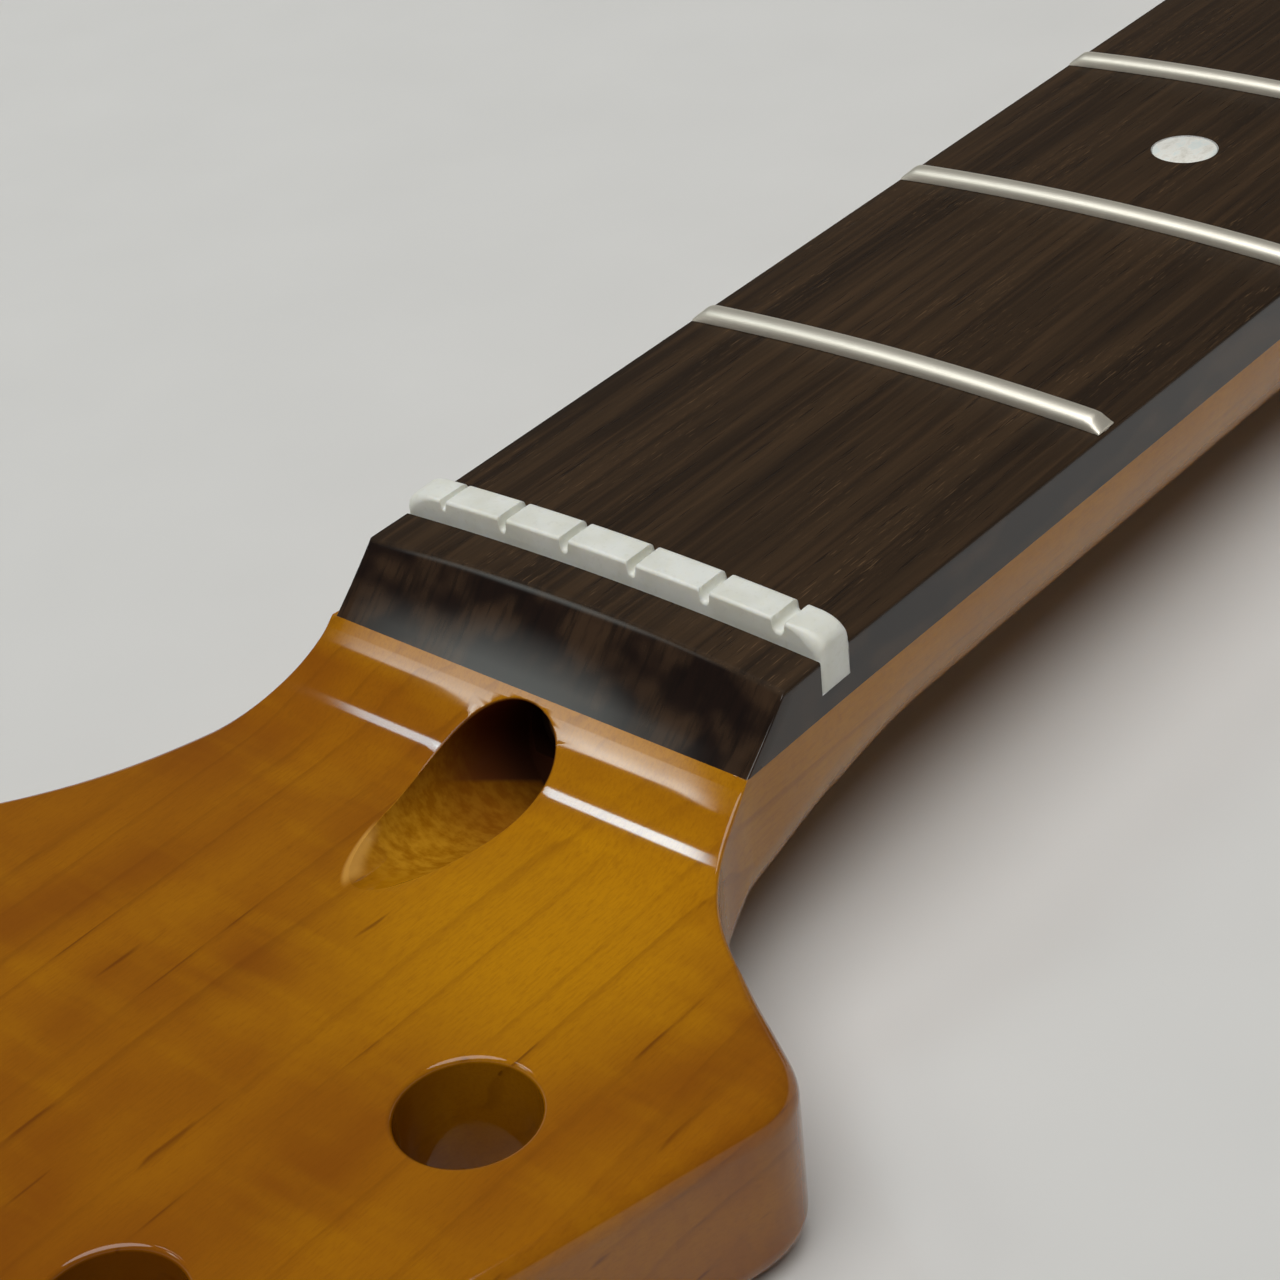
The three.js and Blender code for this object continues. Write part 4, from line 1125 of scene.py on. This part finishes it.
# %% The dots by Geometry Nodes
def dot_tree(name, sizes):
    group, tree, size = geometry_tree(name, **sizes)
    group.interface.new_socket("Places", in_out="INPUT", socket_type="NodeSocketObject")
    guide = Reading(tree, group.nodes["Group Input"].outputs["Places"])
    places = tree.add("GeometryNodeObjectInfo", {}, {"Object": guide}, output=4)
    length = size["Length"] / 1000
    shape = {"Vertices": size["Sides"], "Side Segments": 1, "Radius": size["Radius"] / 1000, "Depth": length}
    rod = tree.add("GeometryNodeMeshCylinder", {"fill_type": "TRIANGLE_FAN"}, shape)
    lowered = tree.vector(0.0, 0.0, (length / 2 + size["Recess"] / 1000) * -1)
    seated = tree.add("GeometryNodeTransform", {}, {0: rod, "Translation": lowered})
    normal = tree.add("GeometryNodeInputNamedAttribute", {"data_type": "FLOAT_VECTOR"}, {"Name": "facing"})
    aimed = tree.add("FunctionNodeAlignRotationToVector", {"axis": "Z"}, {"Vector": normal})
    rods = {"Points": places, "Instance": seated, "Rotation": aimed}
    end_geometry(group, tree, tree.add("GeometryNodeInstanceOnPoints", {}, rods), pearl)
    return group


def dots_at(name, places, facings, sizes, nodes):
    guide = new_piece("dot places", places, [], pearl)
    facing = guide.data.attributes.new("facing", "FLOAT_VECTOR", "POINT")
    facing.data.foreach_set("vector", np.asarray(facings, float).ravel())
    dots = made_by_nodes(name, dot_tree(name, sizes), {**sizes, "Places": guide})
    ease = dots.modifiers.new("eased edges", "BEVEL")
    ease.width, ease.segments, ease.limit_method = sizes["Easing"] / 1000, 2, "ANGLE"
    freeze(dots)
    bpy.data.objects.remove(guide)
    smooth_shade(dots, 50)
    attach(dots, "neck")
    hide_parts(*nodes)
    print(name, len(dots.data.polygons), "faces")


def dot_nodes(start, ends_at_twelve):
    """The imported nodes' names. Fret 12 has two dots, each with an ending of its own."""
    return [f"{start}_{n:02d}{end}" for n in DOTTED for end in (ends_at_twelve if n == 12 else [""])]


dot_sizes = {"Radius": DOT_RADIUS, "Length": 1.5, "Recess": DOT_RECESS, "Easing": 0.12, "Sides": 64}
dots_at("position_dots", dot_tops, dot_ways, dot_sizes, dot_nodes("dot", ["_bass", "_treble"]))
side_sizes = {"Radius": SIDE_DOT_RADIUS, "Length": 2.5, "Recess": 0.05, "Easing": 0.05, "Sides": 32}
side_names = dot_nodes("side_dot", ["_nut_side", "_heel_side"])
dots_at("side_dots", side_tops, [(0, -1, 0)] * len(side_tops), side_sizes, side_names)

# %% [markdown]
# ## The truss rod
#
# Inside the neck a round rod turns in two brass blocks under a flat bar. Only its adjuster can be seen,
# deep in the slanted cut: a small steel barrel with a six-sided socket for a key. It is turned and then
# broached, and its edges are eased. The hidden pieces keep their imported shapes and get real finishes.

# %% The adjuster and the hidden pieces
def on_rod(name, profile, around):
    return turned(name, (0, 0, ROD_Z), (1, 0, 0), profile, around, rod_steel)


KEY_SIZE = 5.0
corner_radius = KEY_SIZE / 2 / math.cos(math.pi / 6)
adjuster = on_rod("adjuster", [(-8.2, 3.2), (-8.2, 3.7), (-7.9, 4.0), (1.0, 4.0), (1.3, 3.7)], 72)
socket = on_rod("socket", [(-10, corner_radius), (-2.7, corner_radius), (-2.2, 0.4)], 6)
mouth = on_rod("mouth", [(-9, 3.55), (-8.2, 3.05), (-7.75, 2.6)], 48)
grip = on_rod("grip", [(-1.7, 2.6), (4, 2.6)], 48)
carve(adjuster, socket, mouth, grip)
adjuster.name = "adjuster_barrel"
smooth_shade(adjuster, 30)
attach(adjuster, "truss_screw")
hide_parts("truss_rod_adjuster")

hidden = {"truss_rod": rod_steel, "truss_rod_bar": rod_steel, "truss_block_head": brass, "truss_block_heel": brass}
for node, finish in hidden.items():
    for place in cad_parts[node].material_slots:
        place.material = finish
print("adjuster:", len(adjuster.data.polygons), "faces")

# %% [markdown]
# ## The floor
#
# A plain pale floor lies under the neck. It is a single square, large enough that its far edge is the
# horizon in any view, and its colour changes a little so that it doesn't look like paper.

# %% The floor
FAR = 20000
floor_corners = [(-FAR, -FAR, 0), (FAR, -FAR, 0), (FAR, FAR, 0), (-FAR, FAR, 0)]
floor_finish, tree, place = start_material("pale floor")
grain = tree.noise(place, (0.05, 0.05, 0.05), 2.0)
floor_colour = tree.mix(grain, srgb(214, 213, 210), srgb(208, 207, 204))
end_material(tree, surface_of(tree, {"Base Color": floor_colour, "Roughness": 0.9}))
floor = new_piece("floor", floor_corners, [(0, 1, 2, 3)], floor_finish)
print("floor:", 2 * FAR / 1000, "m wide")

# %% [markdown]
# ## The room
#
# The world is a room with a dim ceiling and pale walls, which fade out between 6 and 15 degrees above the
# floor. The walls show to the camera and in gloss, metal and glass, and throw no light on the object. The
# camera sees the ceiling as pale as the walls, so that no edge shows behind the neck. Light Path tells
# these rays from the others. The world's own Generated coordinate is the direction in which a ray looks,
# and its third part is the sine of the angle above the floor.

# %% The room
DIM_CEILING, PALE_WALLS = (0.077, 0.074, 0.066, 1), (0.53, 0.53, 0.52, 1)
WALL_FADE = 0.1, 0.26
world = bpy.data.worlds.new("soft room")
bpy.context.scene.world = world
world.use_nodes = True
tree = Tree(world.node_tree)
rays = ["Is Camera Ray", "Is Glossy Ray", "Is Transmission Ray"]
to_camera, to_gloss, to_glass = [tree.add("ShaderNodeLightPath", output=ray) for ray in rays]
walls = 1.0 - tree.part(tree.add("ShaderNodeTexCoord"), 2).smooth(*WALL_FADE)
shown = to_camera.math("MAXIMUM", to_gloss.math("MAXIMUM", to_glass) * walls)
room = tree.mix(shown, DIM_CEILING, PALE_WALLS)
tree.links.new(room.socket, world.node_tree.nodes["Background"].inputs["Color"])
print("the walls fade out between", [round(math.degrees(math.asin(v))) for v in WALL_FADE], "degrees")

# %% [markdown]
# ## The overhead light
#
# A soft light from overhead shows the colours at a plain level. A sun lamp reaches every piece with the
# same strength, and a wide angle makes its shadows as soft as those of a big window.

# %% The overhead light
sky = bpy.data.lights.new("overhead", "SUN")
sky.energy, sky.angle = 2.45, math.radians(56)
overhead = bpy.data.objects.new("overhead", sky)
bpy.context.scene.collection.objects.link(overhead)
overhead.rotation_euler = (math.radians(14), 0, math.radians(-70))
print("overhead shines along", [round(v, 2) for v in overhead.rotation_euler.to_matrix() @ Vector((0, 0, -1))])

# %% [markdown]
# ## The lamps
#
# Two small lamps stand where their reflections fall on the slope as the photograph shows them: a broad pale
# band under the fingerboard and a narrow bright line at the foot. A lacquered slope is a curved mirror, so a
# reflection's outline is the lamp's own, bent. The outlines are drawn as levels over each lamp, from its own
# two coordinates, u along and v across.

# %% The lamps' levels
def band_glow(u, v):
    """The level over a lamp that stands for a bright room seen past a dark edge."""
    tree = u.tree
    edge = [(0.06, 0.675), (0.26, 0.68), (0.31, 0.76), (0.36, 0.92), (0.7, 0.86), (0.87, 0.86), (0.95, 0.98)]
    dim = [(0, 0.2), (0.2, 0.18), (0.3, 0.11), (0.5, 0.11), (0.62, 0.15), (0.72, 0.23), (0.85, 0.24), (0.95, 0.38)]
    full = [(0.55, 0.6), (0.65, 0.72), (1, 0.78)]
    lit = [(0, 0), (0.035, 0.33), (0.07, 0.35), (0.13, 0.52), (0.3, 0.64), (0.57, 0.66), (0.65, 0.98), (0.73, 0.98),
           (0.83, 0.81), (0.91, 0.91), (0.94, 0.4), (0.975, 0)]
    edge, dim, full, level = [tree.curve(u, *stops) for stops in (edge, dim, full, lit)]
    share = ((v - dim) / (full - dim)).math("MAXIMUM", 0.0).math("MINIMUM", 1.0)
    return level * share**1.2 * (1.0 - (v - edge).smooth(-0.03, 0.02))


def line_glow(u, v):
    """The level over a lamp that stands for a tube, which widens and brightens along its length."""
    off = (v - 0.5).math("ABSOLUTE")
    narrow = 1.0 - (off - u * 0.14).smooth(0.28, 0.36)
    return (u * 0.65 + 0.35) * narrow * u.smooth(0.02, 0.12) * (1.0 - u.smooth(0.84, 0.97))


# %% The lamps
SLOPE_MIDDLE, LAMP_DISTANCE = Vector(to_metres((-15, 0, 18))), 0.9


def lamp(name, azimuth, elevation, width, height, power, turn, glow, tint):
    """A soft lamp, seen from the slope at an azimuth and an elevation, and turned in its own plane."""
    light = bpy.data.lights.new(name, "AREA")
    light.shape, light.size, light.size_y, light.energy = "RECTANGLE", width, height, power
    light.use_nodes = True
    tree = Tree(light.node_tree)
    on_lamp = tree.add("ShaderNodeNewGeometry", output=5)
    level = glow(tree.part(on_lamp, 0), tree.part(on_lamp, 1))
    colour = tree.vector(*[level * share for share in tint])
    tree.links.new(colour.socket, light.node_tree.nodes["Emission"].inputs["Color"])
    holder = bpy.data.objects.new(name, light)
    bpy.context.scene.collection.objects.link(holder)
    a, e = math.radians(azimuth), math.radians(elevation)
    away = Vector((math.cos(a) * math.cos(e), math.sin(a) * math.cos(e), math.sin(e)))
    holder.location = SLOPE_MIDDLE + away * LAMP_DISTANCE
    look = away.to_track_quat("Z", "Y").to_matrix().to_4x4()
    holder.rotation_euler = (look @ look.Rotation(math.radians(turn), 4, "Z")).to_euler()
    print(name, "lamp at", [round(v, 2) for v in holder.location], len(tree.nodes), "nodes")


lamp("band", 126.54, 43.17, 0.172, 0.27, 1.48, 43, band_glow, (0.93, 1.0, 0.95))
lamp("line", 92.6, 54.75, 0.192, 0.07, 0.88, 82, line_glow, (0.72, 0.92, 1.0))
bpy.context.scene.view_settings.view_transform = "Standard"
